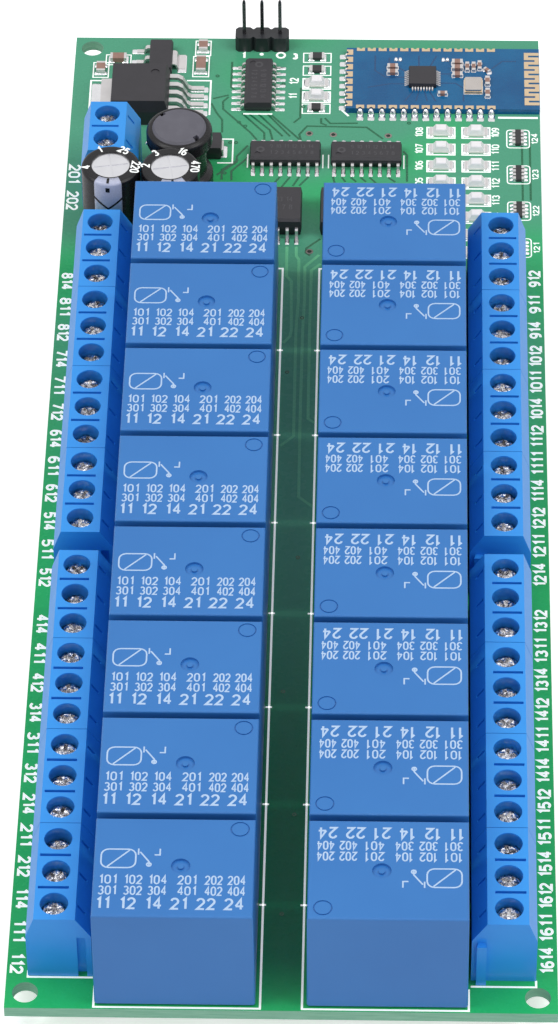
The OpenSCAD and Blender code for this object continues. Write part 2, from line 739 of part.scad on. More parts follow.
module power_regulator_leads() {
    color([0.82, 0.82, 0.82]) at_power_reg()
        for (i = [-2:2]) translate([i * power_reg_pitch, -power_reg[1] / 2, 0])
            gull_lead(power_reg_reach, power_reg_root, power_reg_lead[1], power_reg_lead[0], 1.9);
}

// ---- inductor and diode ----

module at_coil() { translate([coil_at[0], coil_at[1], z_top]) children(); }

coil_fold_z = coil_h - coil_crown;         // top of the sleeve
coil_core_r = coil_d / 2 - coil_wall - coil_gap;
coil_flange_z = coil_fold_z - coil_wall - coil_gap;      // upper face of the upper flange
coil_face_r = coil_d / 2 - coil_wall - coil_rim - coil_gap;

// Drum core: a post between two flanges, the upper one with a raised face and two wire notches
module inductor_core() {
    r = coil_core_r;
    z0 = coil_foot;
    color([0.42, 0.41, 0.44]) at_coil() difference() {
        rotate_extrude() polygon([[0, z0], [r - 0.2, z0], [r, z0 + 0.2], [r, z0 + coil_flange_t],
            [coil_post_r, z0 + coil_flange_t], [coil_post_r, coil_flange_z - coil_flange_t],
            [r, coil_flange_z - coil_flange_t], [r, coil_flange_z], [coil_face_r, coil_flange_z],
            [coil_face_r, coil_h - coil_crown], [coil_face_r - coil_crown, coil_h], [0, coil_h]]);
        for (a = [-45, 135]) rotate([0, 0, a])
            translate([coil_face_r - coil_notch[0], -coil_notch[1] / 2,
                coil_flange_z - coil_flange_t - 0.5])
                cube([r, coil_notch[1], coil_flange_t + 2]);
        for (i = [-1, 1]) translate([0, i * coil_lead_gap / 2, -1])
            cylinder(r = coil_lead_r, h = coil_foot + coil_flange_t + 2);
    }
}

module inductor_winding() {
    r = coil_d / 2 - coil_waist - coil_wall - coil_gap;
    z = coil_foot + coil_flange_t + coil_gap;
    color([0.72, 0.40, 0.22]) at_coil() rotate_extrude()
        translate([coil_post_r + coil_gap, z])
            square([r - coil_post_r - coil_gap, coil_flange_z - coil_flange_t - coil_gap - z]);
}

// Side of the sleeve at wall offset o, from the foot up: drawn in to a waist between the flanges
function sleeve_side(o) = let (
    low = coil_foot + coil_flange_t + coil_ease,
    high = coil_flange_z - coil_flange_t - coil_ease,
    bend = (high - low) * coil_bend,
    r = coil_d / 2 - o) concat(
    [for (t = [0:0.2:1]) [r - coil_waist * (1 - cos(180 * t)) / 2, low + bend * t]],
    [for (t = [0:0.2:1]) [r - coil_waist * (1 + cos(180 * t)) / 2, high - bend * (1 - t)]]);

function turned(points) = [for (i = [len(points) - 1:-1:0]) points[i]];

// Heat-shrink sleeve, folded in over the upper flange
module inductor_sleeve() {
    r = coil_d / 2;
    hole = r - coil_wall - coil_rim;
    color([0.20, 0.19, 0.21]) at_coil() rotate_extrude() polygon(concat(
        [[r - coil_wall, coil_foot + 0.3], [r, coil_foot + 0.3]], sleeve_side(0),
        arc(r - coil_fold_r, coil_fold_z - coil_fold_r, coil_fold_r, 0, 90, 5),
        [[hole, coil_fold_z], [hole, coil_fold_z - coil_wall],
            [r - coil_wall, coil_fold_z - coil_wall]], turned(sleeve_side(coil_wall))));
}

module inductor_leads() {
    color([0.82, 0.82, 0.80]) for (i = [-1, 1])
        translate([coil_at[0], coil_at[1] + i * coil_lead_gap / 2, pin_end])
            cylinder(r = coil_lead_r, h = z_top - pin_end + coil_foot + coil_flange_t - 0.2);
}

diode = [4.3, 3.5, 2.1];
diode_lead_t = 0.2;

module diode_body() {
    color([0.24, 0.24, 0.25]) translate([diode_at[0], diode_at[1], z_top])
        moulded_body(diode[0], diode[1], diode[2], so_lift, 0.15, 0.05);
}

// Flat leads that leave the ends and fold down and under
module diode_leads() {
    mid = so_lift + diode[2] / 2;
    color([0.82, 0.82, 0.82]) translate([diode_at[0], diode_at[1], z_top]) for (s = [0, 180])
        rotate([0, 0, s]) along_y(2.0) polygon([
            [diode[0] / 2, mid + so_lead[1] / 2], [diode[0] / 2, mid - so_lead[1] / 2],
            [diode[0] / 2 + 0.05, mid - so_lead[1] / 2], [diode[0] / 2 + 0.05, 0],
            [diode[0] / 2 + 0.05 + diode_lead_t, 0],
            [diode[0] / 2 + 0.05 + diode_lead_t, mid + so_lead[1] / 2]]);
}

// ---- electrolytic capacitors ----

module at_caps() { for (c = cap_at) translate([c[0], c[1], z_top]) children(); }

// Drawn can: closed top with a pressed vent cross, rolled bead above the bung
module capacitor_cans() {
    color([0.86, 0.86, 0.88]) at_caps() difference() {
        rotate_extrude() polygon(concat(
            [[0, cap_foot + bung_h], [bung_r, cap_foot + bung_h], [bung_r, cap_foot],
                [can_r - 0.1, cap_foot], [can_r, cap_foot + 0.1], [can_r, cap_foot + bung_h + 0.2],
                [can_r - 0.25, cap_foot + bung_h + 0.6], [can_r, cap_foot + bung_h + 1.0]],
            arc(can_r - 0.4, cap_h - sleeve_t - 0.4, 0.4, 0, 90, 4), [[0, cap_h - sleeve_t]]));
        for (a = [10, 100]) rotate([0, 0, a])
            translate([-2.3, -0.12, cap_h - sleeve_t - 0.12]) cube([4.6, 0.24, 1]);
    }
}

// Shrunk sleeve that folds over the rim
module capacitor_sleeves() {
    r = cap_d / 2;
    color([0.12, 0.12, 0.14]) at_caps() rotate_extrude() polygon(concat(
        [[can_r, cap_foot + 0.2], [r, cap_foot + 0.2]],
        arc(r - 0.5, cap_h - 0.5, 0.5, 0, 90, 5),
        [[r - sleeve_lip, cap_h], [r - sleeve_lip, cap_h - sleeve_t]],
        arc(can_r - 0.4, cap_h - sleeve_t - 0.4, 0.4, 90, 0, 4)));
}

module capacitor_bungs() {
    color([0.20, 0.20, 0.21]) at_caps() difference() {
        union() {
            translate([0, 0, cap_foot]) cylinder(r = bung_r, h = bung_h);
            for (a = [45, 225]) rotate([0, 0, a]) translate([2.4, 0, 0])
                cylinder(r = 0.5, h = cap_foot + eps);
        }
        for (s = [-1, 1]) translate([s * cap_lead_gap / 2, 0, -1])
            cylinder(r = cap_lead_r, h = cap_foot + bung_h + 2);
    }
}

module capacitor_leads() {
    color([0.80, 0.80, 0.80]) for (c = cap_at, s = [-1, 1])
        translate([c[0] + s * cap_lead_gap / 2, c[1], pin_end])
            cylinder(r = cap_lead_r, h = z_top - pin_end + cap_foot + bung_h);
}

// ---- chip parts ----

// Body between the two end caps, length along X
module chip_body(l, w, h) { block(0, 0, 0.02, l - 2 * chip_end, w, h - 0.02); }
module chip_ends(l, w, h) {
    for (s = [-1, 1]) block(s * (l - chip_end) / 2, 0, 0, chip_end, w, h);
}

module at_chip_caps() {
    for (c = chip_cap_at) translate([c[0], c[1], z_top]) rotate([0, 0, c[4]]) {
        $chip_l = c[2];
        $chip_w = c[3];
        children();
    }
}

module chip_capacitor_bodies() {
    color([0.62, 0.45, 0.38]) at_chip_caps() chip_body($chip_l, $chip_w, chip_cap_h);
}
module chip_capacitor_ends() {
    color([0.86, 0.86, 0.86]) at_chip_caps() chip_ends($chip_l, $chip_w, chip_cap_h);
}

module at_resistors() { for (c = resistor_at) translate([c[0], c[1], z_top]) children(); }
module resistor_bodies() { color([0.20, 0.20, 0.22]) at_resistors() chip_body(2, chip_w, chip_h); }
module resistor_ends() { color([0.86, 0.86, 0.86]) at_resistors() chip_ends(2, chip_w, chip_h); }

module at_lamps() {
    for (x = lamp_x, k = [0:relay_rows - 1]) translate([x, lamp_y - k * lamp_pitch, z_top]) children();
    for (c = status_lamp_at) translate([c[0], c[1], z_top]) children();
}

module lamp_bases() {
    color([0.90, 0.90, 0.86]) at_lamps()
        chip_body(lamp_size[0], lamp_size[1], lamp_size[2]);
}

// Moulded lens: a low loaf with sloped ends and rounded upper edges
module lamp_lenses() {
    z0 = lamp_size[2];
    z1 = z0 + lamp_lens[2];
    color([0.93, 0.92, 0.93]) at_lamps() intersection() {
        along_y(lamp_lens[1]) polygon(case_profile(lamp_lens[0], lamp_lean, z0, z1, 0.3));
        along_x(lamp_lens[0]) polygon(case_profile(lamp_lens[1], 0.1, z0, z1, 0.3));
    }
}

module lamp_ends() {
    color([0.86, 0.86, 0.82]) at_lamps()
        chip_ends(lamp_size[0], lamp_size[1], lamp_size[2]);
}

module at_arrays() {
    for (k = [0:3]) translate([array_x, array_y - k * array_pitch, z_top]) children();
}

module resistor_array_bodies() {
    color([0.16, 0.15, 0.17]) at_arrays()
        block(0, 0, 0.02, array_size[0] - 2 * array_end, array_size[1], array_size[2] - 0.02);
}

module resistor_array_ends() {
    color([0.84, 0.84, 0.84]) at_arrays() for (s = [-1, 1], i = [-1.5:1.5])
        block(s * (array_size[0] - array_end) / 2, i * array_size[1] / 4, 0,
            array_end, array_size[1] / 4 * 0.65, array_size[2]);
}

// ---- radio board ----

// Places of the edge pads, each with the direction that faces out of the board
radio_pad_at = concat(
    [for (s = [-1, 1], i = [0:radio_pads_long - 1])
        [-radio_l / 2 + radio_first + i * radio_pitch, s * radio_w / 2, s * 90]],
    [for (i = [0:radio_pads_end - 1])
        [-radio_l / 2, (i - (radio_pads_end - 1) / 2) * radio_end_pitch, 180]]);

module at_radio(z) { translate([radio_x, radio_y, z_top + z]) children(); }

module radio_board() {
    color([0.18, 0.42, 0.62]) at_radio(0) difference() {
        block(0, 0, 0, radio_l, radio_w, radio_t);
        for (p = radio_pad_at) translate([p[0], p[1], -1]) cylinder(r = radio_notch_r, h = 4);
    }
}

module radio_pads() {
    color([0.85, 0.74, 0.55]) at_radio(radio_t) for (p = radio_pad_at)
        translate([p[0], p[1], 0]) rotate([0, 0, p[2]]) difference() {
            l = p[2] == 180 ? radio_end_pad_l : radio_pad[1];
            translate([-l, -radio_pad[0] / 2, 0]) cube([l, radio_pad[0], radio_pad[2]]);
            translate([0, 0, -1]) cylinder(r = radio_notch_r, h = 3);
        }
}

// Printed aerial: bars across the end of the board, joined in turn at their ends
module radio_aerial() {
    p = (aerial_span - aerial_w) / (aerial_bars - 1);
    x = radio_l / 2 - 0.05;
    color([0.85, 0.66, 0.45]) at_radio(radio_t) linear_extrude(aerial_t)
        for (i = [0:aerial_bars - 1]) {
            translate([x - aerial_l, (i - aerial_bars / 2 + 0.5) * p - aerial_w / 2])
                square([aerial_l, aerial_w]);
            if (i < aerial_bars - 1)
                translate([i % 2 == 0 ? x - aerial_l : x - aerial_w,
                    (i - aerial_bars / 2 + 0.5) * p - aerial_w / 2])
                    square([aerial_w, p + aerial_w]);
        }
}

module at_radio_chip() {
    at_radio(radio_t) translate([radio_chip_at[0], radio_chip_at[1], 0]) children();
}

module radio_chip_body() {
    color([0.26, 0.25, 0.27]) at_radio_chip()
        moulded_body(radio_chip_size[0], radio_chip_size[1], radio_chip_size[2], 0.05, 0.08, 0.02);
}

module radio_chip_leads() {
    n = 8;
    p = 0.4;
    color([0.82, 0.82, 0.82]) at_radio_chip() for (s = [0:3], i = [0:n - 1])
        rotate([0, 0, s * 90]) translate([(i - (n - 1) / 2) * p, -radio_chip_size[1] / 2, 0])
            gull_lead(0.6, 0.3, 0.12, 0.2, 0.3);
}

module radio_crystal_base() {
    color([0.85, 0.74, 0.50]) at_radio(radio_t)
        block(radio_crystal_at[0], radio_crystal_at[1], 0,
            radio_crystal_size[0], radio_crystal_size[1], 0.35);
}

module radio_crystal_can() {
    color([0.80, 0.77, 0.76]) at_radio(radio_t + 0.35)
        translate([radio_crystal_at[0], radio_crystal_at[1], 0])
            rounded_slab(radio_crystal_size[0] - 0.25, radio_crystal_size[1] - 0.25,
                radio_crystal_size[2] - 0.35, 0.15);
}

module radio_small_parts() {
    color([0.55, 0.45, 0.40]) at_radio(radio_t) for (p = radio_parts)
        translate([p[0], p[1], 0]) rotate([0, 0, p[5]])
            block(0, 0, 0.02, p[2] * 0.5, p[3], p[4] - 0.02);
}

module radio_small_ends() {
    color([0.86, 0.86, 0.88]) at_radio(radio_t) for (p = radio_parts, s = [-1, 1])
        translate([p[0], p[1], 0]) rotate([0, 0, p[5]])
            block(s * p[2] * 0.375, 0, 0, p[2] * 0.25, p[3], p[4]);
}

main_board();
relay_cases_left();
relay_cases_right();
relay_bases_left();
relay_bases_right();
relay_pins_left();
relay_pins_right();
terminals_left_front();
terminals_left_rear();
terminals_right_front();
terminals_right_rear();
terminal_power();
terminal_screws();
terminal_cages();
terminal_contacts();
solder_joints();
header_body();
header_pins();
small_regulator_body();
small_regulator_leads();
power_regulator_body();
power_regulator_tab();
power_regulator_leads();
inductor_core();
inductor_winding();
inductor_sleeve();
inductor_leads();
diode_body();
diode_leads();
capacitor_cans();
capacitor_sleeves();
capacitor_bungs();
capacitor_leads();
chip_capacitor_bodies();
chip_capacitor_ends();
resistor_bodies();
resistor_ends();
lamp_bases();
lamp_lenses();
lamp_ends();
resistor_array_bodies();
resistor_array_ends();
driver_chip_bodies();
driver_chip_leads();
logic_chip_bodies();
logic_chip_leads();
radio_board();
radio_pads();
radio_aerial();
radio_chip_body();
radio_chip_leads();
radio_crystal_can();
radio_crystal_base();
radio_small_parts();
radio_small_ends();
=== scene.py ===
import json
import math
import bpy
import numpy as np
from mathutils import Matrix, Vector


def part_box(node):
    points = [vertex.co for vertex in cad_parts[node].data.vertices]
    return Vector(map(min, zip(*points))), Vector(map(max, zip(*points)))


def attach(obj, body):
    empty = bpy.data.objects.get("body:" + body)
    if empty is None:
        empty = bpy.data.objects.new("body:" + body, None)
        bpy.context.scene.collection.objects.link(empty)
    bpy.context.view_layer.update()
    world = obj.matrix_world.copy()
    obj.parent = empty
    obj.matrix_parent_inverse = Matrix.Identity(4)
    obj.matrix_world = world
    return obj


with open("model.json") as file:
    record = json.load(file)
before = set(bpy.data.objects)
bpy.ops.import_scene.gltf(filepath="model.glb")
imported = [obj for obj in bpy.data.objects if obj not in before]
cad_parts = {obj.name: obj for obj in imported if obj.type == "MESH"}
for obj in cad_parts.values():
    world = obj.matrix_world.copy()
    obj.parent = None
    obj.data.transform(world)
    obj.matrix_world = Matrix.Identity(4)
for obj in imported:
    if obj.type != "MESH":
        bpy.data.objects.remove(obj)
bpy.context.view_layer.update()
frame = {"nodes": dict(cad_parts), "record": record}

mm = 0.001


def boxOf(node):
    # lowest and highest corners of a whole node, in millimetres
    return [np.array(v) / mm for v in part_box(node)]


boardLow, boardHigh = boxOf("main_board")
boardTop = float(boardHigh[2])
sideEdge, rearEdge = float(boardHigh[0]), float(boardHigh[1])
print("frame loaded:", len(frame["nodes"]), "nodes")


# surfaces

def gridFaces(rows, cols, wrap):
    # quads between neighbouring rows of a point grid; wrap joins the last column to the first
    i = np.arange(rows - 1)[:, None]
    j = np.arange(cols if wrap else cols - 1)[None, :]
    k = (j + 1) % cols
    quads = np.stack([i * cols + j, i * cols + k, (i + 1) * cols + k, (i + 1) * cols + j], -1)
    return quads.reshape(-1, 4)


def makePiece(name, blocks, material, smooth=True):
    # blocks are (points, face sets) pairs in millimetres; they become one mesh in metres
    points, loops, starts, totals = [], [], [], []
    base, at = 0, 0
    for pts, faceSets in blocks:
        points.append(pts)
        for faces in faceSets:
            faces = np.atleast_2d(faces)
            loops.append((faces + base).ravel())
            starts.append(at + np.arange(len(faces)) * faces.shape[1])
            totals.append(np.full(len(faces), faces.shape[1]))
            at += faces.size
        base += len(pts)
    points = np.concatenate(points) * mm
    loops, starts, totals = map(np.concatenate, (loops, starts, totals))
    mesh = bpy.data.meshes.new(name)
    mesh.vertices.add(len(points))
    mesh.vertices.foreach_set("co", points.ravel())
    mesh.loops.add(len(loops))
    mesh.loops.foreach_set("vertex_index", loops.astype(np.int32))
    mesh.polygons.add(len(starts))
    mesh.polygons.foreach_set("loop_start", starts.astype(np.int32))
    mesh.polygons.foreach_set("loop_total", totals.astype(np.int32))
    mesh.polygons.foreach_set("use_smooth", np.full(len(starts), smooth))
    mesh.update(calc_edges=True)
    mesh.validate()
    piece = bpy.data.objects.new(name, mesh)
    bpy.context.scene.collection.objects.link(piece)
    piece.data.materials.append(material)
    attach(piece, "root")


def stack(outline, scales, heights, centre=(0, 0, 0), turn=0.0):
    # a closed outline repeated as rows, each scaled about its centre and lifted, with both ends capped
    outline = np.asarray(outline, float)
    scales = np.asarray(scales, float).reshape(len(heights), -1)
    xy = outline[None, :, :] * scales[:, None, :]
    c, s = math.cos(turn), math.sin(turn)
    x = xy[..., 0] * c - xy[..., 1] * s + centre[0]
    y = xy[..., 0] * s + xy[..., 1] * c + centre[1]
    z = np.broadcast_to(np.asarray(heights, float)[:, None] + centre[2], x.shape)
    rows, cols = x.shape
    last = (rows - 1) * cols + np.arange(cols)
    return (np.stack([x, y, z], -1).reshape(-1, 3),
            [gridFaces(rows, cols, True), np.arange(cols)[::-1], last])


def roundedOutline(width, length, corner, steps=4):
    # a rectangle with quarter-circle corners, as points in order
    corner = min(corner, width / 2 - 1e-4, length / 2 - 1e-4)
    a = np.linspace(0, math.pi / 2, steps)
    pts = []
    for k, (sx, sy) in enumerate(((1, 1), (-1, 1), (-1, -1), (1, -1))):
        cx, cy = sx * (width / 2 - corner), sy * (length / 2 - corner)
        pts.append(np.stack([cx + corner * np.cos(a + k * math.pi / 2),
                             cy + corner * np.sin(a + k * math.pi / 2)], -1))
    return np.concatenate(pts)


ribbonShape = {"sharpest": 0.35, "topShare": 0.9}     # limit of a mitre's reach, width of the flat top


def ribbon(path, width, height, base=0.0, closed=False):
    # a flat-topped strip: its four-point profile is carried along the path with mitred bends
    p = np.asarray(path, float)
    step = np.diff(np.vstack([p, p[:1]]) if closed else p, axis=0)
    step /= np.linalg.norm(step, axis=1)[:, None]
    if closed:
        before, after = np.roll(step, 1, axis=0), step
    else:
        before = np.vstack([step[:1], step])
        after = np.vstack([step, step[-1:]])
    normal = np.stack([-(before + after)[:, 1], (before + after)[:, 0]], -1)
    normal /= np.maximum(np.linalg.norm(normal, axis=1)[:, None], 1e-9)
    side = np.stack([-after[:, 1], after[:, 0]], -1)
    edge = normal * (width / 2 / np.maximum((normal * side).sum(1), ribbonShape["sharpest"]))[:, None]
    top = edge * ribbonShape["topShare"]
    low, high = np.full((len(p), 1), base), np.full((len(p), 1), base + height)
    rows = np.stack([np.hstack([p - edge, low]), np.hstack([p - top, high]),
                     np.hstack([p + top, high]), np.hstack([p + edge, low])], 1)
    n = len(p)
    if closed:
        rows = np.concatenate([rows, rows[:1]])
        return rows.reshape(-1, 3), [gridFaces(n + 1, 4, True)[:, ::-1]]
    return rows.reshape(-1, 3), [gridFaces(n, 4, True)[:, ::-1],
                                 np.arange(4), (n - 1) * 4 + np.arange(4)[::-1]]


def placed(block, x=0.0, y=0.0, z=0.0, turn=0.0):
    # turns a block about the upright axis, then moves it
    pts, faces = block
    c, s = math.cos(turn), math.sin(turn)
    return (np.stack([pts[:, 0] * c - pts[:, 1] * s + x,
                      pts[:, 0] * s + pts[:, 1] * c + y, pts[:, 2] + z], -1), faces)


def arcPoints(cx, cy, rx, ry, start, end, count):
    # points of an oval arc at even angles, from start to end in degrees
    a = np.radians(np.linspace(start, end, count))
    return [(cx + rx * math.cos(t), cy + ry * math.sin(t)) for t in a]


def oval(cx, cy, rx, ry, count):
    # a whole turn, whose last point lies on its first
    return arcPoints(cx, cy, rx, ry, 0, 360, count)


hook = arcPoints(0.36, 0.58, 0.34, 0.42, 68, 180, 6) + [(0.02, 0.3)]
# strokes of plain numerals in a cell one unit high; a path that ends where it starts is a ring
numerals = {
    "0": [arcPoints(0.3, 0.72, 0.3, 0.28, 0, 180, 7) + arcPoints(0.3, 0.28, 0.3, 0.28, 180, 360, 7)
          + [(0.6, 0.72)]],
    "1": [[(0.12, 0.8), (0.34, 1.0), (0.34, 0.0)]],
    "2": [arcPoints(0.3, 0.72, 0.3, 0.28, 170, -30, 8) + [(0.0, 0.0), (0.62, 0.0)]],
    "3": [arcPoints(0.28, 0.75, 0.28, 0.25, 150, -80, 7),
          arcPoints(0.28, 0.27, 0.31, 0.27, 85, -155, 8)],
    "4": [[(0.45, 0.0), (0.45, 1.0), (0.0, 0.3)], [(0.0, 0.3), (0.66, 0.3)]],
    "5": [[(0.55, 1.0), (0.08, 1.0), (0.04, 0.56)] + arcPoints(0.29, 0.31, 0.31, 0.31, 120, -150, 9)],
    "6": [hook, oval(0.31, 0.3, 0.29, 0.3, 13)],
    "7": [[(0.0, 1.0), (0.6, 1.0), (0.22, 0.0)]],
    "8": [oval(0.3, 0.76, 0.25, 0.24, 12), oval(0.3, 0.27, 0.3, 0.27, 13)],
    "9": [[(0.6 - x, 1 - y) for x, y in hook], oval(0.29, 0.7, 0.29, 0.3, 13)],
}
# widths as shares of the height: of the narrow cells, of the others and of the gaps; a row without
# a span is made narrower, and each later stroke is thicker by the layer's share
cells = {"1": 0.42, " ": 0.34}
numeralShape = {"cell": 0.62, "gap": 0.3, "narrow": 0.8, "layer": 0.3}


def cellWidth(mark):
    return cells.get(mark, numeralShape["cell"])


def numberBlocks(text, height, stroke, thick, span=None, gap=numeralShape["gap"]):
    # the numerals of a text as ribbons along their strokes, centred on the origin in the plane z = 0;
    # a span stretches the row to that length
    height -= stroke
    span = span - stroke if span else None
    wide = sum(cellWidth(mark) + gap for mark in text) - gap
    stretch = span / (wide * height) if span else numeralShape["narrow"]
    blocks, at = [], -wide / 2
    for mark in text:
        for layer, path in enumerate(numerals.get(mark, [])):
            points = (np.array(path) + (at, -0.5)) * (height * stretch, height)
            ring = len(points) > 3 and np.allclose(points[0], points[-1])
            lifted = thick * (1 + numeralShape["layer"] * layer)
            blocks.append(ribbon(points[:-1] if ring else points, stroke, lifted, closed=ring))
        at += cellWidth(mark) + gap
    return blocks


def shell(outer, inner):
    # a thin wall between two point grids of the same shape, closed round its edges
    rows, cols = outer.shape[:2]
    count = rows * cols
    front = gridFaces(rows, cols, False)
    ids = np.arange(count).reshape(rows, cols)
    rim = np.concatenate([ids[0], ids[1:, -1], ids[-1, -2::-1], ids[-2:0:-1, 0]])
    ahead = np.roll(rim, -1)
    wall = np.stack([rim + count, ahead + count, ahead, rim], -1)
    return (np.concatenate([outer.reshape(-1, 3), inner.reshape(-1, 3)]),
            [front, front[:, ::-1] + count, wall])


def wrapped(centre, path, angles, lift):
    # a path of (radius, height) turned through angles about an upright axis, as a wall of that thickness
    path = np.asarray(path, float)
    step = np.gradient(path, axis=0)
    away = np.stack([step[:, 1], -step[:, 0]], -1)
    away /= np.linalg.norm(away, axis=1)[:, None]
    grids = []
    for offset in (lift, 0.0):
        r, z = (path + away * offset).T
        x = centre[0] + r[:, None] * np.cos(angles)
        y = centre[1] + r[:, None] * np.sin(angles)
        grids.append(np.stack([x, y, np.broadcast_to(z[:, None], x.shape)], -1))
    return shell(*grids)


def ringBlock(cx, cy, inner, outer, low, high, count=16):
    # a flat ring: a square section turned once round
    a = np.linspace(0, 2 * math.pi, count, endpoint=False)
    section = np.array([(inner, high), (inner, low), (outer, low), (outer, high), (inner, high)])
    r, z = section[:, 0][:, None], section[:, 1][:, None]
    pts = np.stack([cx + r * np.cos(a), cy + r * np.sin(a), np.broadcast_to(z, (5, count))], -1)
    return pts.reshape(-1, 3), [gridFaces(5, count, True)]


domeShape = {"rows": (1.0, 0.97, 0.86, 0.66, 0.4, 0.15), "inset": 0.03, "sink": 0.2, "sides": 9}


def dome(width, reach, height, x, y, z, turn=0.0):
    # half an oval dome with its flat back on the local X axis, for solder drawn up a wall:
    # z = height * (sqrt(1 - (t - inset)^2) - sink), t from the rim to the crown
    a = np.linspace(math.pi, 2 * math.pi, domeShape["sides"])
    outline = np.stack([width / 2 * np.cos(a), reach * np.sin(a)], -1)
    t = np.array(domeShape["rows"])
    heights = height * np.sqrt(1 - (t - domeShape["inset"]) ** 2) - height * domeShape["sink"]
    return placed(stack(outline, t, heights), x, y, z, turn)


def nodeSolids(node, band=None):
    # lowest and highest corners of each solid of a node, in millimetres, from the corners it shares
    mesh = frame["nodes"][node].data
    co = np.empty(len(mesh.vertices) * 3)
    mesh.vertices.foreach_get("co", co)
    co = co.reshape(-1, 3) / mm
    mesh.calc_loop_triangles()
    tri = np.empty(len(mesh.loop_triangles) * 3, np.int32)
    mesh.loop_triangles.foreach_get("vertices", tri)
    shared, ids = np.unique(np.round(co, 4), axis=0, return_inverse=True)
    tri = ids.ravel()[tri.reshape(-1, 3)]
    label = np.arange(len(shared))
    while True:
        low = label[tri].min(1)
        fresh = label.copy()
        np.minimum.at(fresh, tri.ravel(), np.repeat(low, 3))
        fresh = fresh[fresh]
        if (fresh == label).all():
            break
        label = fresh
    out = []
    for k in np.unique(label):
        pts = shared[label == k]
        if band is not None:
            pts = pts[pts[:, 2] <= pts[:, 2].min() + band]
        out.append((pts.min(0), pts.max(0)))
    return out


# materials

def newGroup(name, second, numbers):
    # a shader group for skins: a place, two colours and some numbers give colour, roughness and height
    group = bpy.data.node_groups.new(name, "ShaderNodeTree")
    for way, kind, labels in (
            ("INPUT", "Vector", ["Vector"]), ("INPUT", "Color", ["Colour", second]),
            ("INPUT", "Float", [*numbers, "Rough Low", "Rough High"]),
            ("OUTPUT", "Color", ["Colour"]), ("OUTPUT", "Float", ["Roughness", "Height"])):
        for label in labels:
            group.interface.new_socket(name=label, in_out=way, socket_type="NodeSocket" + kind)
    return group, group.nodes.new("NodeGroupInput").outputs, group.nodes.new("NodeGroupOutput").inputs


def addNode(tree, kind, settings=None, **inputs):
    # inputs are named, or numbered as i0, i1 and so on; a socket is linked and a value is set
    node = tree.nodes.new(kind)
    for key, value in (settings or {}).items():
        setattr(node, key, value)
    for key, value in inputs.items():
        socket = node.inputs[int(key[1:])] if key[0] == "i" and key[1:].isdigit() else node.inputs[key]
        if isinstance(value, bpy.types.NodeSocket):
            tree.links.new(value, socket)
        else:
            socket.default_value = value
    return node


def worked(tree, operation, *values, clamp=False):
    # the result of one Math node on numbers or sockets
    settings = {"operation": operation, "use_clamp": clamp}
    inputs = {f"i{k}": value for k, value in enumerate(values)}
    return addNode(tree, "ShaderNodeMath", settings, **inputs).outputs[0]


def spanMask(tree, value, low, high, flip=False):
    # rises smoothly from 0 to 1 as the value goes from low to high, or falls where flipped
    first, last = (1.0, 0.0) if flip else (0.0, 1.0)
    return addNode(tree, "ShaderNodeMapRange", {"interpolation_type": "SMOOTHSTEP"},
                   Value=value, i1=low, i2=high, i3=first, i4=last).outputs["Result"]


def mixColours(tree, amount, first, second):
    # from the first colour at 0 to the second at 1
    return addNode(tree, "ShaderNodeMix", {"data_type": "RGBA"}, i0=amount, i6=first, i7=second).outputs[2]


def noiseOf(tree, vector, scale, detail, roughness=0.5):
    # a cloudy value from 0 to 1
    return addNode(tree, "ShaderNodeTexNoise", Vector=vector, Scale=scale, Detail=detail,
                   Roughness=roughness).outputs["Fac"]


def squeezed(tree, vector, factors):
    # the vector with each part times its factor, which draws a pattern out along the smaller ones
    return addNode(tree, "ShaderNodeVectorMath", {"operation": "MULTIPLY"},
                   i0=vector, i1=factors).outputs["Vector"]


def linear(colour):
    # display colour from 0 to 255 to the light it stands for
    c = np.array(colour, float) / 255
    c = np.where(c <= 0.04045, c / 12.92, ((c + 0.055) / 1.055) ** 2.4)
    return (float(c[0]), float(c[1]), float(c[2]), 1.0)


def endGroup(group, start, end, colour, gloss, height):
    # joins a group's results to its outputs, with the gloss spread between its two roughnesses
    rough = addNode(group, "ShaderNodeMapRange", Value=gloss,
                    i3=start["Rough Low"], i4=start["Rough High"])
    group.links.new(colour, end["Colour"])
    group.links.new(rough.outputs["Result"], end["Roughness"])
    group.links.new(height, end["Height"])
    return group


def mouldedGroup():
    # cloudy colour, uneven gloss and a fine grain for moulded, sprayed and fired surfaces
    group, start, end = newGroup("mouldedSkin", "Shade", ("Cloud Scale", "Cloud", "Grain Scale"))
    cloud = noiseOf(group, start["Vector"], start["Cloud Scale"], 3.0, 0.6)
    grain = noiseOf(group, start["Vector"], start["Grain Scale"], 2.0)
    spread = addNode(group, "ShaderNodeMapRange", Value=cloud, i1=0.35, i2=0.65, i3=0.0, i4=1.0)
    amount = worked(group, "MULTIPLY", spread.outputs["Result"], start["Cloud"])
    colour = mixColours(group, amount, start["Colour"], start["Shade"])
    return endGroup(group, start, end, colour, grain, grain)


def platedGroup():
    # plated metal: soft tarnish, drawn streaks along one axis and small dents
    group, start, end = newGroup("platedSkin", "Tarnish",
                                 ("Tarnish Scale", "Tarnish Amount", "Contrast", "Streak Scale"))
    patch = noiseOf(group, start["Vector"], start["Tarnish Scale"], 4.0)
    streak = noiseOf(group, squeezed(group, start["Vector"], (1.0, 0.25, 1.0)), start["Streak Scale"], 2.0)
    fromHalf = worked(group, "SUBTRACT", patch, 0.5)
    sharp = worked(group, "MULTIPLY_ADD", fromHalf, start["Contrast"], 0.5, clamp=True)
    amount = worked(group, "MULTIPLY", sharp, start["Tarnish Amount"])
    colour = mixColours(group, amount, start["Colour"], start["Tarnish"])
    return endGroup(group, start, end, colour, streak, worked(group, "ADD", streak, patch))


moulded, plated = mouldedGroup(), platedGroup()
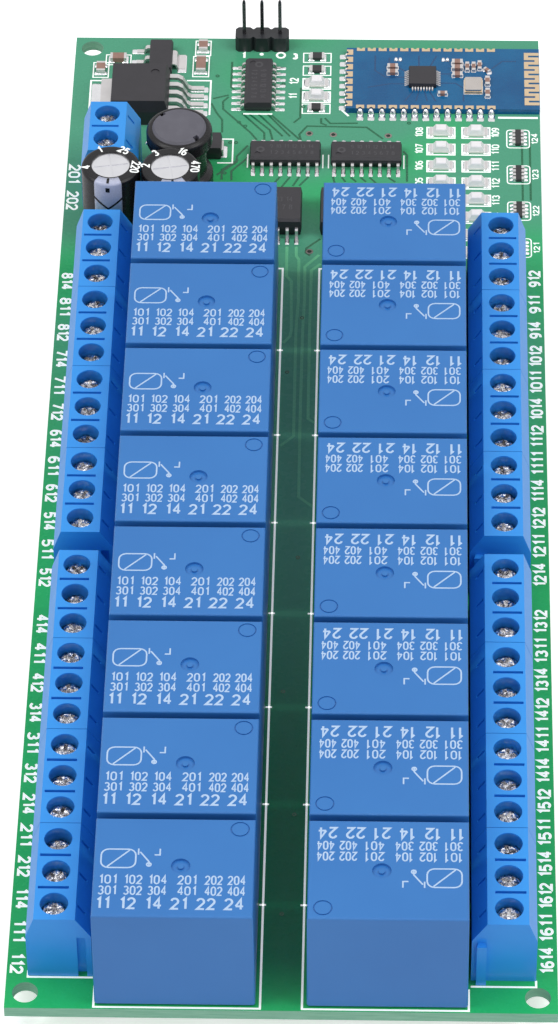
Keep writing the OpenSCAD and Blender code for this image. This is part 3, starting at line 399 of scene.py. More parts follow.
# values of a finish that names none of its own; depths are in metres
usualMoulded = {"cloudScale": 150.0, "cloud": 0.5, "grainScale": 4000.0, "bump": 0.15, "depth": 0.00002,
                "specular": 0.5, "coat": 0.0, "coatRough": 0.12, "glow": 0.0, "softDepth": 0.0008}
usualPlated = {"tarnishScale": 600.0, "amount": 0.4, "contrast": 1.0, "streakScale": 3000.0,
               "bump": 0.25, "depth": 0.00003, "metallic": 1.0}


def newMaterial(name):
    # a material with its tree, its shader and the object's own coordinates
    material = bpy.data.materials.new(name)
    material.use_nodes = True
    tree = material.node_tree
    shader = tree.nodes["Principled BSDF"]
    where = tree.nodes.new("ShaderNodeTexCoord")
    return material, tree, shader, where.outputs["Object"]


def mouldedSkin(tree, where, colour, shade, v):
    # the moulded group with one finish's values
    return addNode(tree, "ShaderNodeGroup", {"node_tree": moulded}, **{
        "Vector": where, "Colour": linear(colour), "Shade": linear(shade),
        "Cloud Scale": v["cloudScale"], "Cloud": v["cloud"], "Grain Scale": v["grainScale"],
        "Rough Low": v["rough"][0], "Rough High": v["rough"][1]})


def finishWith(tree, shader, skin, colour, v):
    # joins a skin group's outputs to the shader, with its height as a bump
    tree.links.new(colour, shader.inputs["Base Color"])
    tree.links.new(skin.outputs["Roughness"], shader.inputs["Roughness"])
    bumpNode = addNode(tree, "ShaderNodeBump", Height=skin.outputs["Height"],
                       Strength=v["bump"], Distance=v["depth"])
    tree.links.new(bumpNode.outputs["Normal"], shader.inputs["Normal"])


def mouldedMaterial(name, values):
    v = {**usualMoulded, **values}
    material, tree, shader, where = newMaterial(name)
    skin = mouldedSkin(tree, where, v["colour"], v["shade"], v)
    if "paintedShadeTop" in v:
        # the colour changes between two heights: painted shade towards the top of the screw wells
        place = addNode(tree, "ShaderNodeSeparateXYZ", i0=where)
        amount = spanMask(tree, place.outputs["Z"], *v["heights"])
        graded = mixColours(tree, amount, linear(v["colour"]), linear(v["paintedShadeTop"]))
        tree.links.new(graded, skin.inputs["Colour"])
    finishWith(tree, shader, skin, skin.outputs["Colour"], v)
    # an emission in the finish's own colour; a finish that gives it strength glows with painted light
    shader.inputs["Emission Color"].default_value = linear(v["colour"])
    for label, key in (("Specular IOR Level", "specular"), ("Coat Weight", "coat"),
                       ("Coat Roughness", "coatRough"), ("Emission Strength", "glow")):
        shader.inputs[label].default_value = v[key]
    if "subsurface" in v:
        shader.inputs["Subsurface Weight"].default_value = v["subsurface"]
        shader.inputs["Subsurface Radius"].default_value = [v["softDepth"]] * 3
    return material


def platedMaterial(name, values):
    v = {**usualPlated, **values}
    material, tree, shader, where = newMaterial(name)
    skin = addNode(tree, "ShaderNodeGroup", {"node_tree": plated}, **{
        "Vector": where, "Colour": linear(v["colour"]), "Tarnish": linear(v["tarnish"]),
        "Tarnish Scale": v["tarnishScale"], "Tarnish Amount": v["amount"], "Contrast": v["contrast"],
        "Streak Scale": v["streakScale"], "Rough Low": v["rough"][0], "Rough High": v["rough"][1]})
    finishWith(tree, shader, skin, skin.outputs["Colour"], v)
    shader.inputs["Metallic"].default_value = v["metallic"]
    return material


# places on the board are in metres, as low and high ends of a change
laminate = {"mask": (44, 190, 111), "maskShade": (38, 176, 100), "cloudScale": 45.0, "cloud": 0.8,
            "grainScale": 900.0, "rough": (0.2, 0.34), "specular": 0.16, "bump": 0.12, "depth": 0.00002}
# patches of copper pour that set in only towards the rear, where their pale colour is partly painted
# reflection
pourAndSheen = {"colour": (86, 164, 132), "scale": 38.0, "patch": (0.28, 0.52), "along": (-0.02, 0.055)}
# the bare strip is real, but its dark colour, lighter towards the rear, is painted shade between the relay
# banks
bareStripShade = {"colour": (4, 134, 88), "rearLessShaded": (98, 186, 146), "shadeFade": (-0.06, 0.0), "faded": 0.95,
             "middle": -0.0004, "half": (0.0026, 0.0034), "start": (-0.0875, -0.08), "end": (0.038, 0.048)}
cutEdge = {"colour": (164, 210, 186), "shade": (108, 170, 140), "scale": 2600.0,
           "layers": (0.12, 0.12, 2.2), "tilt": 0.6, "rougher": 0.45}


def boardMaterial(name):
    # solder mask with patches of copper pour and a bare strip on its upper face, and woven layers
    # on the cut edges; the pour's paleness towards the rear is partly painted reflection, and the strip's
    # darkness is partly painted shade
    material, tree, shader, where = newMaterial(name)
    skin = mouldedSkin(tree, where, laminate["mask"], laminate["maskShade"], laminate)
    acrossBoard, alongBoard = addNode(tree, "ShaderNodeSeparateXYZ", i0=where).outputs[:2]
    facing = tree.nodes.new("ShaderNodeNewGeometry")
    upward = addNode(tree, "ShaderNodeSeparateXYZ", i0=facing.outputs["Normal"]).outputs["Z"]
    onTop = worked(tree, "GREATER_THAN", upward, 0.0)
    noise = noiseOf(tree, where, pourAndSheen["scale"], 1.5)
    patches = worked(tree, "MULTIPLY", onTop, spanMask(tree, noise, *pourAndSheen["patch"]))
    # the pour fades in towards the rear: partly painted reflection
    pouredAndSheen = worked(tree, "MULTIPLY", spanMask(tree, alongBoard, *pourAndSheen["along"]), patches)
    mask = mixColours(tree, pouredAndSheen, skin.outputs["Colour"], linear(pourAndSheen["colour"]))
    # the bare strip: its width across, its length along, and its colour, whose painted shade fades lighter
    # towards the rear
    sideways = worked(tree, "ABSOLUTE", worked(tree, "SUBTRACT", acrossBoard, bareStripShade["middle"]))
    along = worked(tree, "MULTIPLY", spanMask(tree, alongBoard, *bareStripShade["start"]),
                   spanMask(tree, alongBoard, *bareStripShade["end"], True))
    strip = worked(tree, "MULTIPLY", spanMask(tree, sideways, *bareStripShade["half"], True),
                   worked(tree, "MULTIPLY", along, onTop))
    # painted shade along the strip: dark at the front, fading lighter towards the rear
    shadeFade = worked(tree, "MULTIPLY", spanMask(tree, alongBoard, *bareStripShade["shadeFade"]), bareStripShade["faded"])
    bareShaded = mixColours(tree, shadeFade, linear(bareStripShade["colour"]), linear(bareStripShade["rearLessShaded"]))
    mask = mixColours(tree, strip, mask, bareShaded)
    fibres = noiseOf(tree, squeezed(tree, where, cutEdge["layers"]), cutEdge["scale"], 3.0)
    edge = mixColours(tree, fibres, linear(cutEdge["colour"]), linear(cutEdge["shade"]))
    # faces whose normal is flatter than the tilt are cut edges or walls of holes
    onEdge = worked(tree, "LESS_THAN", worked(tree, "ABSOLUTE", upward), cutEdge["tilt"])
    finishWith(tree, shader, skin, mixColours(tree, onEdge, mask, edge), laminate)
    rougher = worked(tree, "MULTIPLY_ADD", onEdge, cutEdge["rougher"], skin.outputs["Roughness"])
    tree.links.new(rougher, shader.inputs["Roughness"])
    shader.inputs["Specular IOR Level"].default_value = laminate["specular"]
    return material


plastics = {
    "relay_blue": {"colour": (52, 122, 195), "shade": (46, 114, 187), "cloudScale": 60.0,
                   "grainScale": 5200.0, "rough": (0.3, 0.42), "bump": 0.12},
    "relay_base_blue": {"colour": (34, 78, 150), "shade": (28, 66, 132), "rough": (0.4, 0.55)},
    "terminal_blue": {"colour": (50, 156, 242), "shade": (42, 144, 232), "cloudScale": 80.0,
                      "grainScale": 4200.0, "rough": (0.26, 0.4), "bump": 0.1},
    "black_plastic": {"colour": (38, 40, 44), "shade": (28, 30, 34), "rough": (0.35, 0.5)},
    "chip_black": {"colour": (46, 44, 49), "shade": (36, 35, 40), "cloudScale": 400.0,
                   "grainScale": 7000.0, "rough": (0.45, 0.62), "bump": 0.35},
    "ferrite": {"colour": (99, 98, 108), "shade": (83, 82, 92), "cloudScale": 500.0,
                "grainScale": 6000.0, "rough": (0.5, 0.7), "bump": 0.3},
    "black_sleeve": {"colour": (30, 29, 32), "shade": (22, 21, 24), "rough": (0.2, 0.34),
                     "specular": 0.3},
    "rubber_bung": {"colour": (40, 40, 40), "shade": (30, 30, 30), "rough": (0.6, 0.8)},
    "ceramic_tan": {"colour": (160, 124, 112), "shade": (134, 102, 92), "cloudScale": 900.0,
                    "rough": (0.35, 0.5)},
    "resistor_black": {"colour": (38, 37, 40), "shade": (28, 27, 30), "rough": (0.25, 0.4)},
    "lamp_white": {"colour": (244, 242, 238), "shade": (230, 226, 220), "rough": (0.4, 0.55)},
    "lamp_lens": {"colour": (253, 250, 253), "shade": (246, 241, 246), "cloudScale": 900.0,
                  "rough": (0.12, 0.22), "subsurface": 0.2, "coat": 0.4},
    "blue_board": {"colour": (18, 102, 152), "shade": (12, 84, 136), "cloudScale": 140.0, "cloud": 0.9,
                   "grainScale": 1500.0, "rough": (0.2, 0.34), "specular": 0.35},
}
metals = {
    "plated_screw": {"colour": (253, 252, 252), "tarnish": (126, 124, 130), "tarnishScale": 1500.0,
                     "amount": 0.8, "contrast": 6.0, "rough": (0.12, 0.4), "bump": 1.0, "depth": 0.0003},
    "nickel_plate": {"colour": (206, 200, 196), "tarnish": (150, 142, 136), "rough": (0.22, 0.36)},
    "tinned_metal": {"colour": (224, 221, 221), "tarnish": (160, 157, 158), "rough": (0.24, 0.44),
                     "metallic": 0.8},
    # darker than the tinned metal: painted dark reflection on the header's pins
    "pin_metal": {"colour": (120, 118, 122), "tarnish": (64, 64, 68), "rough": (0.2, 0.36)},
    "solder": {"colour": (240, 240, 242), "tarnish": (160, 162, 168), "tarnishScale": 900.0,
               "rough": (0.14, 0.34), "bump": 0.5, "depth": 0.0001},
    "gold_plate": {"colour": (226, 204, 172), "tarnish": (184, 150, 116), "rough": (0.3, 0.46)},
    "copper_wire": {"colour": (190, 110, 60), "tarnish": (130, 64, 34), "rough": (0.25, 0.4)},
    "aluminium_can": {"colour": (226, 226, 230), "tarnish": (180, 180, 186), "streakScale": 2200.0,
                      "rough": (0.24, 0.4)},
}
skins = {name: mouldedMaterial(name, v) for name, v in plastics.items()}
skins.update({name: platedMaterial(name, v) for name, v in metals.items()})
skins["green_board"] = boardMaterial("green_board")
# each node takes the finish of its slot; the header's pins are darker than the other tinned metal, a
# painted dark reflection
slotOf = {part["node"]: part["material_slot"] for part in frame["record"]["subparts"]}
for name, node in frame["nodes"].items():
    node.data.materials.clear()
    node.data.materials.append(skins["pin_metal" if name == "header_pins" else slotOf[name]])
print("materials on", len(frame["nodes"]), "nodes")

prints = {
    # the white print glows a little though it is no lamp: painted light that keeps it white in the shade of
    # the relays
    "silkWhitePaintedGlow": {"colour": (250, 253, 251), "shade": (240, 246, 242), "cloudScale": 700.0,
                  "rough": (0.5, 0.7), "glow": 0.34},
    "printBlue": {"colour": (190, 214, 242), "shade": (168, 198, 236), "cloudScale": 900.0,
                  "rough": (0.4, 0.55)},
    "maskDark": {"colour": (12, 106, 70), "shade": (8, 94, 60), "rough": (0.2, 0.34)},
    "maskLight": {"colour": (122, 214, 160), "shade": (108, 202, 148), "rough": (0.2, 0.34),
                  "specular": 0.2},
    "maskGreen": {"colour": (10, 146, 84), "shade": (6, 130, 72), "rough": (0.2, 0.34)},
    "maskNavy": {"colour": (20, 74, 122), "shade": (16, 64, 110), "rough": (0.2, 0.34)},
    "chipGrey": {"colour": (72, 71, 75), "shade": (62, 61, 65), "cloudScale": 900.0, "rough": (0.5, 0.7)},
    "sleeveStripe": {"colour": (196, 200, 222), "shade": (180, 186, 212), "cloudScale": 300.0,
                     "rough": (0.2, 0.34)},
    "viaRing": {"colour": (150, 142, 134), "shade": (122, 114, 106), "rough": (0.3, 0.45)},
    # painted shade for the holes of the vias
    "viaHoleShade": {"colour": (20, 36, 28), "shade": (12, 24, 18), "rough": (0.6, 0.8)},
}
inks = {name: mouldedMaterial(name, v) for name, v in prints.items()}


# painted light and shade on the walls of the screw wells

# thin liners inside the wells: their pale lower colour is painted bounce light, and their darker top colour
# is painted shade
wellShading = {"outer": 1.66, "inner": 1.63, "floor": 7.22, "rim": 0.1, "margin": 0.6, "sides": 24,
        "colour": (70, 172, 250), "shade": (60, 156, 240), "paintedShadeTop": (34, 130, 214), "cloud": 0.3,
        "rough": (0.26, 0.4)}
wellTop = boxOf("terminals_left_front")[1][2] - wellShading["rim"]
wellFloor = boardTop + wellShading["floor"]
wellShading["heights"] = ((wellFloor + wellShading["margin"]) * mm, (wellTop - wellShading["margin"]) * mm)
shadeLiners = [ringBlock(*(low[:2] + high[:2]) / 2, wellShading["inner"], wellShading["outer"], wellFloor, wellTop,
                    wellShading["sides"]) for low, high in nodeSolids("terminal_screws")]
makePiece("well_shade_liners", shadeLiners, mouldedMaterial("wellPaintedShade", wellShading))
print("screw wells:", len(shadeLiners))


# solder pads and joints on the upper face

solder = {"land": 0.03, "corner": 0.2, "band": 0.06, "heel": 0.1, "sideShare": 0.6,
          "rows": (1.0, 1.0, 0.96, 0.85, 0.68, 0.45, 0.2)}


def padBlock(x0, y0, x1, y1, rise, z=0.0):
    # a pad: flat land with a bulged crown, z = land + rise * (1 - t^3), t from the middle to the rim
    t = np.array(solder["rows"])
    heights = np.concatenate([[0.0], solder["land"] + rise * (1 - t[1:] ** 3)])
    outline = roundedOutline(x1 - x0, y1 - y0, solder["corner"])
    return stack(outline, t, heights, ((x0 + x1) / 2, (y0 + y1) / 2, boardTop + z))


def footPads(node, margins, rise):
    # one pad round each foot of a node, with margins at -x, -y, +x and +y
    left, front, right, back = margins
    return [padBlock(low[0] - left, low[1] - front, high[0] + right, high[1] + back, rise)
            for low, high in nodeSolids(node, solder["band"])]


def leadPads(node, rise, toe, side):
    # pads that reach further past the toe of each lead than past its heel
    feet = nodeSolids(node, solder["band"])
    blocks = []
    for (low, high), (lo, hi) in zip(feet, nodeSolids(node)):
        along = 0 if hi[0] - lo[0] > hi[1] - lo[1] else 1
        toeEnd = 1 if (low[along] + high[along]) / 2 > (lo[along] + hi[along]) / 2 else 0
        grow = np.full((2, 2), side)
        grow[toeEnd, along], grow[1 - toeEnd, along] = toe, solder["heel"]
        blocks.append(padBlock(*(low[:2] - grow[0]), *(high[:2] + grow[1]), rise))
    return blocks


pads = []
for node, rise, toe, side in (
        ("logic_chip_leads", 0.1, 0.8, 0.1), ("driver_chip_leads", 0.1, 0.5, 0.1),
        ("small_regulator_leads", 0.14, 0.7, 0.15), ("power_regulator_leads", 0.16, 0.6, 0.15)):
    pads += leadPads(node, rise, toe, side)
pads += footPads("diode_leads", (0.5, 0.2, 0.5, 0.2), 0.2)
pads += footPads("power_regulator_tab", (1.4, 0.3, -7.0, 0.3), 0.02)     # ends below the body
for node, reach in (("chip_capacitor_ends", 0.3), ("resistor_ends", 0.3), ("lamp_ends", 0.26)):
    beside = reach * solder["sideShare"]
    pads += footPads(node, (reach, beside, reach, beside), 0.26)
pads += footPads("resistor_array_ends", (0.5, 0.02, 0.5, 0.02), 0.2)

# solder at the radio board's edge pads: a dome up each wall and its pad on the main board
radioSolder = {"dome": (1.02, 0.5, 1.1), "sideDome": (0.75, 0.36, 0.85), "wide": 0.96, "out": 1.6,
               "sideOut": 1.0, "rise": 0.05, "near": 0.05}
radioLow, radioHigh = boxOf("radio_board")
radioMiddle = (radioLow + radioHigh) / 2
radioTop = float(radioHigh[2])
half = radioSolder["wide"] / 2
for low, high in nodeSolids("radio_pads"):
    x, y = (low[:2] + high[:2]) / 2
    if abs(low[1] - radioLow[1]) < radioSolder["near"]:
        pads.append(dome(*radioSolder["dome"], x, radioLow[1], boardTop))
        pads.append(padBlock(x - half, radioLow[1] - radioSolder["out"], x + half, radioLow[1],
                             radioSolder["rise"]))
    elif abs(low[0] - radioLow[0]) < radioSolder["near"]:
        pads.append(dome(*radioSolder["sideDome"], radioLow[0], y, boardTop, -math.pi / 2))
        pads.append(padBlock(radioLow[0] - radioSolder["sideOut"], y - half, radioLow[0], y + half,
                             radioSolder["rise"]))

# solder on the radio board: two pairs of beads, and thin pads below its small parts
beads = {"at": ((-6.35, 3.95), (0.35, 3.95)), "apart": 0.3, "halfX": 0.28, "halfY": 0.36, "rise": 0.32,
         "margin": 0.1, "padRise": 0.03}
lift = radioTop - boardTop
for dx, dy in beads["at"]:
    for shift in (-beads["apart"], beads["apart"]):
        x, y = radioMiddle[0] + dx + shift, radioMiddle[1] + dy
        pads.append(padBlock(x - beads["halfX"], y - beads["halfY"], x + beads["halfX"],
                             y + beads["halfY"], beads["rise"], lift))
for node in ("radio_small_ends", "radio_crystal_base"):
    for low, high in nodeSolids(node):
        pads.append(padBlock(*(low[:2] - beads["margin"]), *(high[:2] + beads["margin"]),
                             beads["padRise"], lift))
# a stray bead of solder between the power terminal and the inductor
strayBead = {"box": (-22.3, 65.9, -21.7, 66.6), "rise": 0.4}
pads.append(padBlock(*strayBead["box"], strayBead["rise"]))
makePiece("upper_pads", pads, skins["solder"])
print("solder pads:", len(pads))


# tracks and vias

tracks = {"width": 0.31, "thick": 0.014, "step": 0.1, "stripWidth": 0.42, "radioWidth": 0.22,
          "radioThick": 0.012}
via = {"inner": 0.3, "outer": 0.52, "rise": 0.04, "lap": 0.05, "hollowRise": 0.015, "sides": 20,
       "tented": (0.12, 0.3), "tentedRise": 0.03, "tentedSides": 12}
# runs of the tracks, in millimetres from the board's middle
runs = [
    [(-13.1, 75.9), (-10.9, 76.7)],
    [(-10.9, 76.3), (-11.66, 75.3), (-11.6, 73.7), (-7.6, 68.7), (-6.7, 67.2)],
    [(-13.3, 74.9), (-12.5, 72.9), (-11.67, 71.4), (-11.6, 68.7)],
    [(-8.87, 72.8), (-5.68, 68.7), (-5.64, 67.2)], [(-7.83, 72.6), (-4.92, 69.3), (-4.48, 67.2)],
    [(-6.54, 72.6), (-3.09, 68.0)], [(-5.25, 72.6), (-2.06, 68.0)], [(-4.73, 72.45), (-0.63, 67.24)],
    [(2.24, 71.9), (2.26, 70.8), (3.04, 70.4)], [(2.76, 71.95), (3.55, 70.8), (7.42, 70.9)],
    [(-0.51, 67.2), (-0.78, 68.4), (0.3, 70.2), (8.68, 70.03), (10.96, 67.6)],
    [(-7.92, 66.0), (-9.4, 63.7), (-9.4, 62.5), (-12.1, 59.8)],
    [(-7.36, 64.1), (-10.08, 60.6), (-10.02, 58.7)],
    [(-3.29, 59.5), (-4.4, 57.6)], [(-1.89, 59.5), (-3.12, 57.2)], [(-0.62, 59.5), (-1.47, 57.6)],
    [(0.66, 59.5), (-0.58, 57.65)], [(4.07, 59.65), (4.34, 58.2)], [(5.31, 59.5), (5.82, 58.55)],
    [(6.55, 59.5), (7.31, 58.6)], [(7.91, 59.5), (8.67, 58.6)], [(9.16, 59.5), (10.04, 58.4)],
    [(11.76, 59.5), (12.76, 58.6)], [(13.85, 65.0), (14.35, 64.25), (14.37, 58.7)],
    [(30.4, 68.0), (30.4, 55.0)], [(31.5, 68.0), (31.5, 55.0)],
    [(2.52, 46.8), (0.66, 44.9), (0.56, 44.0), (1.19, 43.4)],
    [(-13.4, 70.2), (-13.4, 68.9), (-12.6, 67.9)], [(-9.2, 63.0), (-11.4, 60.9), (-11.4, 58.8)],
    [(-1.6, 70.9), (-0.7, 72.0), (-0.7, 78.4)], [(-10.6, 83.9), (-10.6, 78.4), (-9.9, 77.6)],
]
vias = [(1.08, -44.8), (0.64, -20.4), (4.0, -20.6), (11.7, -20.75)]     # from the board's rear edge
tentedVias = [
    (-12.6, 80.8), (-9.3, 70.9), (-8.4, 70.1), (-10.4, 66.6), (-9.6, 66.6), (-12.9, 64.1), (-0.3, 74.3),
    (-3.2, 79.2), (14.6, 71.0), (-11.0, 60.2), (15.2, 55.5), (-0.9, 56.5), (0.3, 31.0), (-1.5, 20.4),
    (0.6, -14.0), (-0.8, -37.5), (1.0, -58.0), (-0.2, -74.0)]
# tracks that cross differ a little in height
lines = [ribbon(run, tracks["width"], tracks["thick"] * (1 + tracks["step"] * (k % 4)), boardTop)
         for k, run in enumerate(runs)]
lines += [ringBlock(x, y, *via["tented"], boardTop, boardTop + via["tentedRise"], via["tentedSides"])
          for x, y in tentedVias]
makePiece("tracks", lines, inks["maskDark"], smooth=False)
# lighter tracks that run down the bare strip between the relay banks
stripRuns = [
    [(-2.01, 45.17), (-2.01, 42.42), (-1.99, 39.27), (-1.29, 38.28), (-1.09, 28.6), (-1.24, 27.35),
     (-2.15, 26.07)],
    [(-0.74, 45.18), (-0.7, 43.31), (-0.33, 42.58), (-0.25, 34.52), (-0.46, 28.61), (-0.39, 8.28),
     (-2.14, 6.38)],
    [(2.4, 43.55), (0.51, 41.17), (0.59, 34.53), (0.44, 28.62), (0.42, 10.55), (0.49, -3.02),
     (2.39, -4.83)],
    [(2.65, 41.76), (1.4, 40.46), (1.41, 34.54), (1.37, 28.63), (1.47, 11.58), (2.35, 10.78)]]
stripLines = [ribbon(run, tracks["stripWidth"], tracks["thick"], boardTop) for run in stripRuns]
makePiece("strip_tracks", stripLines, inks["maskLight"], smooth=False)
viaPlaces = [(x, rearEdge + y) for x, y in vias]
viaRings = [ringBlock(x, y, via["inner"], via["outer"], boardTop, boardTop + via["rise"], via["sides"])
            for x, y in viaPlaces]
makePiece("via_rings", viaRings, inks["viaRing"])
# a dark disc inside each via's ring: painted shade standing for the open hole
hollowOutline, hollowRadius = oval(0, 0, 1, 1, 17)[:-1], via["inner"] + via["lap"]
holeShades = [stack(hollowOutline, [hollowRadius] * 2, [0.0, via["hollowRise"]], (x, y, boardTop))
           for x, y in viaPlaces]
makePiece("via_hole_shade", holeShades, inks["viaHoleShade"])
# tracks on the radio board, from that board's middle
radioRuns = [
    [(-7.6, 4.4), (-7.6, 3.2), (-4.9, 1.2)], [(-9.6, 4.9), (-9.6, 1.6), (-8.1, 0.2), (-4.9, 0.2)],
    [(-10.6, -2.0), (-7.4, -1.2), (-4.9, -1.2)], [(-4.2, -2.8), (-5.4, -4.9)], [(-3.4, -2.8), (-3.8, -4.9)],
    [(-2.6, -2.8), (-2.2, -4.9)], [(-1.9, -2.8), (-1.0, -4.9)], [(-0.4, -1.0), (1.8, -1.0), (2.8, -2.0)],
    [(-0.4, 1.0), (1.0, 1.0)], [(2.9, -3.4), (2.9, -4.9)], [(6.9, 2.2), (8.4, 3.8), (10.4, 3.8)],
    [(-3.4, 2.4), (-3.4, 4.9)], [(-1.9, 2.4), (-0.9, 4.9)]]
radioLines = [placed(ribbon(run, tracks["radioWidth"], tracks["radioThick"]), *radioMiddle[:2], radioTop)
              for run in radioRuns]
makePiece("radio_tracks", radioLines, inks["maskNavy"], smooth=False)
print("tracks:", len(runs) + len(radioRuns), "vias:", len(vias) + len(tentedVias))


# printed outlines and numbers on the board

silk = {"thick": 0.022, "line": 0.27, "thin": 0.17, "gap": 0.25}


def lineBlock(path, width=silk["line"], closed=False):
    # a line on the board
    return ribbon(path, width, silk["thick"], boardTop, closed)


def outlineBlock(x0, y0, x1, y1, width):
    # a rectangle on the board
    return lineBlock([(x0, y0), (x1, y0), (x1, y1), (x0, y1)], width, True)


def boardNumber(text, x, y, turn, height, stroke, span=None):
    # numerals on the board with their middle at x, y
    return [placed(b, x, y, boardTop, turn)
            for b in numberBlocks(text, height, stroke, silk["thick"], span, silk["gap"])]


marks = []
# contact numbers along both edges: relay number, then 12, 11 and 14 for its three contacts;
# each size is a height and a stroke width
edgeNumbers = {"size": (1.66, 0.33), "fromEdge": 1.2, "shiftLeft": -0.65, "shiftRight": 0.7,
               "span": {3: 3.35, 4: 4.2}, "onesWider": 0.25}
poles = {"pitch": 5.08, "count": 12, "relays": 16}
poleGroups = {"terminals_left_front": (-1, 0), "terminals_left_rear": (-1, 4),
              "terminals_right_front": (1, 0), "terminals_right_rear": (1, 4)}
for node, (side, first) in poleGroups.items():
    low, high = boxOf(node)
    start = high[1] - poles["count"] * poles["pitch"] if side > 0 else low[1]
    shift = edgeNumbers["shiftLeft" if side < 0 else "shiftRight"]
    for pole in range(poles["count"]):
        relay = first + pole // 3
        number = relay + 1 if side < 0 else poles["relays"] - relay
        contact = (("12", "11", "14") if side < 0 else ("14", "11", "12"))[pole % 3]
        text = str(number) + contact
        span = edgeNumbers["span"][len(text)] + (edgeNumbers["onesWider"] if contact == "11" else 0.0)
        marks += boardNumber(text, side * (sideEdge - edgeNumbers["fromEdge"]),
                             start + (pole + 0.5) * poles["pitch"] + shift, side * math.pi / 2,
                             *edgeNumbers["size"], span)
powerNumbers = {"x": -31.9, "size": (1.7, 0.3), "span": 3.9, "at": {"201": 59.75, "202": 54.2}}
for text, y in powerNumbers["at"].items():
    marks += boardNumber(text, powerNumbers["x"], y, -math.pi / 2, *powerNumbers["size"],
                         powerNumbers["span"])

# outlines of the relay banks, with a tick between neighbouring relays
bank = {"inner": 0.55, "outer": 0.1, "past": 0.3, "stub": 3.0, "tickOut": 0.45, "tickIn": 0.35,
        "tickDown": 0.37}
relayBoxes = {side: nodeSolids(f"relay_cases_{side}") for side in ("left", "right")}
for side, boxes in relayBoxes.items():
    lo = np.min([b[0] for b in boxes], 0)
    hi = np.max([b[1] for b in boxes], 0)
    inner = hi[0] + bank["inner"] if side == "left" else lo[0] - bank["inner"]
    outer = lo[0] - bank["outer"] if side == "left" else hi[0] + bank["outer"]
    front, back = lo[1] - bank["past"], hi[1] + bank["past"]
    marks.append(lineBlock([(outer, lo[1] + bank["stub"]), (outer, front), (inner, front),
                            (inner, back), (outer, back)]))
    for low, high in sorted(boxes, key=lambda b: b[0][1])[1:]:
        y = low[1] - bank["tickDown"]
        marks.append(lineBlock([(inner - bank["tickOut"], y), (inner + bank["tickIn"], y)]))
# the front corners of both terminal rows
corner = {"stub": 0.8, "past": 0.2}
for node in ("terminals_left_front", "terminals_right_front"):
    low, high = boxOf(node)
    outer, inner = (low[0], high[0]) if "left" in node else (high[0], low[0])
    front = low[1] - corner["past"]
    marks.append(lineBlock([(outer, low[1] + corner["stub"]), (outer, front), (inner, front)]))

# boxes round the small parts
for node, halfX, halfY, width in (("lamp_bases", 1.93, 1.12, 0.23),
                                  ("resistor_bodies", 1.95, 1.0, silk["thin"])):
    for low, high in nodeSolids(node):
        x, y = (low[:2] + high[:2]) / 2
        marks.append(outlineBlock(x - halfX, y - halfY, x + halfX, y + halfY, width))
capacitorBox = {"beside": 0.45, "beyond": 0.95}     # margins across and along the capacitor
for low, high in nodeSolids("chip_capacitor_bodies"):
    gx, gy = capacitorBox["beside"], capacitorBox["beyond"]
    if high[1] - low[1] <= high[0] - low[0]:
        gx, gy = gy, gx
    marks.append(outlineBlock(low[0] - gx, low[1] - gy, high[0] + gx, high[1] + gy, silk["thin"]))
arrayBox = lineBlock(roundedOutline(3.15, 3.75, 0.4, 3), silk["thin"], True)
for low, high in nodeSolids("resistor_array_bodies"):
    marks.append(placed(arrayBox, *(low[:2] + high[:2]) / 2))
# a line below the upright chip, and one at each end of the chips that lie across
chipLine = {"past": 0.1, "below": 0.4, "wide": 0.3, "beside": 0.3, "short": 1.2, "narrow": 0.18}
for low, high in nodeSolids("logic_chip_bodies"):
    past = chipLine["past"]
    if high[0] - low[0] < high[1] - low[1]:
        y = low[1] - chipLine["below"]
        marks.append(lineBlock([(low[0] - past, y), (high[0] + past, y)], chipLine["wide"]))
        continue
    for x in (low[0] - chipLine["beside"], high[0] + chipLine["beside"]):
        marks.append(lineBlock([(x, low[1] - past), (x, high[1] - chipLine["short"])], chipLine["narrow"]))
# brackets round the power regulator, the diode and the radio board
radioLine = radioLow[1] - 0.75
for path, width in (
        ([(-13.5, 72.4), (-13.5, 79.75), (-16.9, 79.75)], 0.25),
        ([(-30.5, 72.5), (-30.5, 79.6), (-27.9, 79.6)], 0.25),
        ([(-12.1, 62.3), (-10.0, 62.3), (-10.0, 67.3), (-11.6, 67.3)], 0.22),
        ([(radioHigh[0] - 5.9, radioLine), (sideEdge - 0.3, radioLine)], 0.4),
        ([(radioLow[0] - 0.8, radioLow[1] + 0.9), (radioLow[0] + 0.4, radioLine + 0.1)], 0.3)):
    marks.append(lineBlock(path, width))

# numbers of the lamps in their two columns, of the resistor arrays and of the resistors
lampNumbers = {"x": (16.05, 26.7), "up": 0.1, "size": (1.1, 0.19), "span": 2.1, "rows": 8}
lamps = [b for b in nodeSolids("lamp_bases") if b[0][0] > 10]     # without the two by the upright chip
for k, (low, high) in enumerate(sorted(lamps, key=lambda b: (round(b[0][0] / 3), -b[0][1]))):
    column = k // lampNumbers["rows"]
    text = f"1{k + 1:02d}" if column else f"1{lampNumbers['rows'] - k:02d}"
    marks += boardNumber(text, lampNumbers["x"][column], (low[1] + high[1]) / 2 + lampNumbers["up"],
                         math.pi / 2, *lampNumbers["size"], lampNumbers["span"])
arrayNumbers = {"x": 32.2, "size": (0.9, 0.17), "span": 2.3}
for k, (low, high) in enumerate(sorted(nodeSolids("resistor_array_bodies"), key=lambda b: b[0][1])):
    marks += boardNumber(f"12{k + 1}", arrayNumbers["x"], (low[1] + high[1]) / 2, math.pi / 2,
                         *arrayNumbers["size"], arrayNumbers["span"])
for text, x, y, height, span in (("12", -1.7, 79.8, 1.3, 1.5), ("11", -1.75, 76.6, 1.2, 1.2)):
    marks += boardNumber(text, x, y, math.pi / 2, height, 0.22, span)
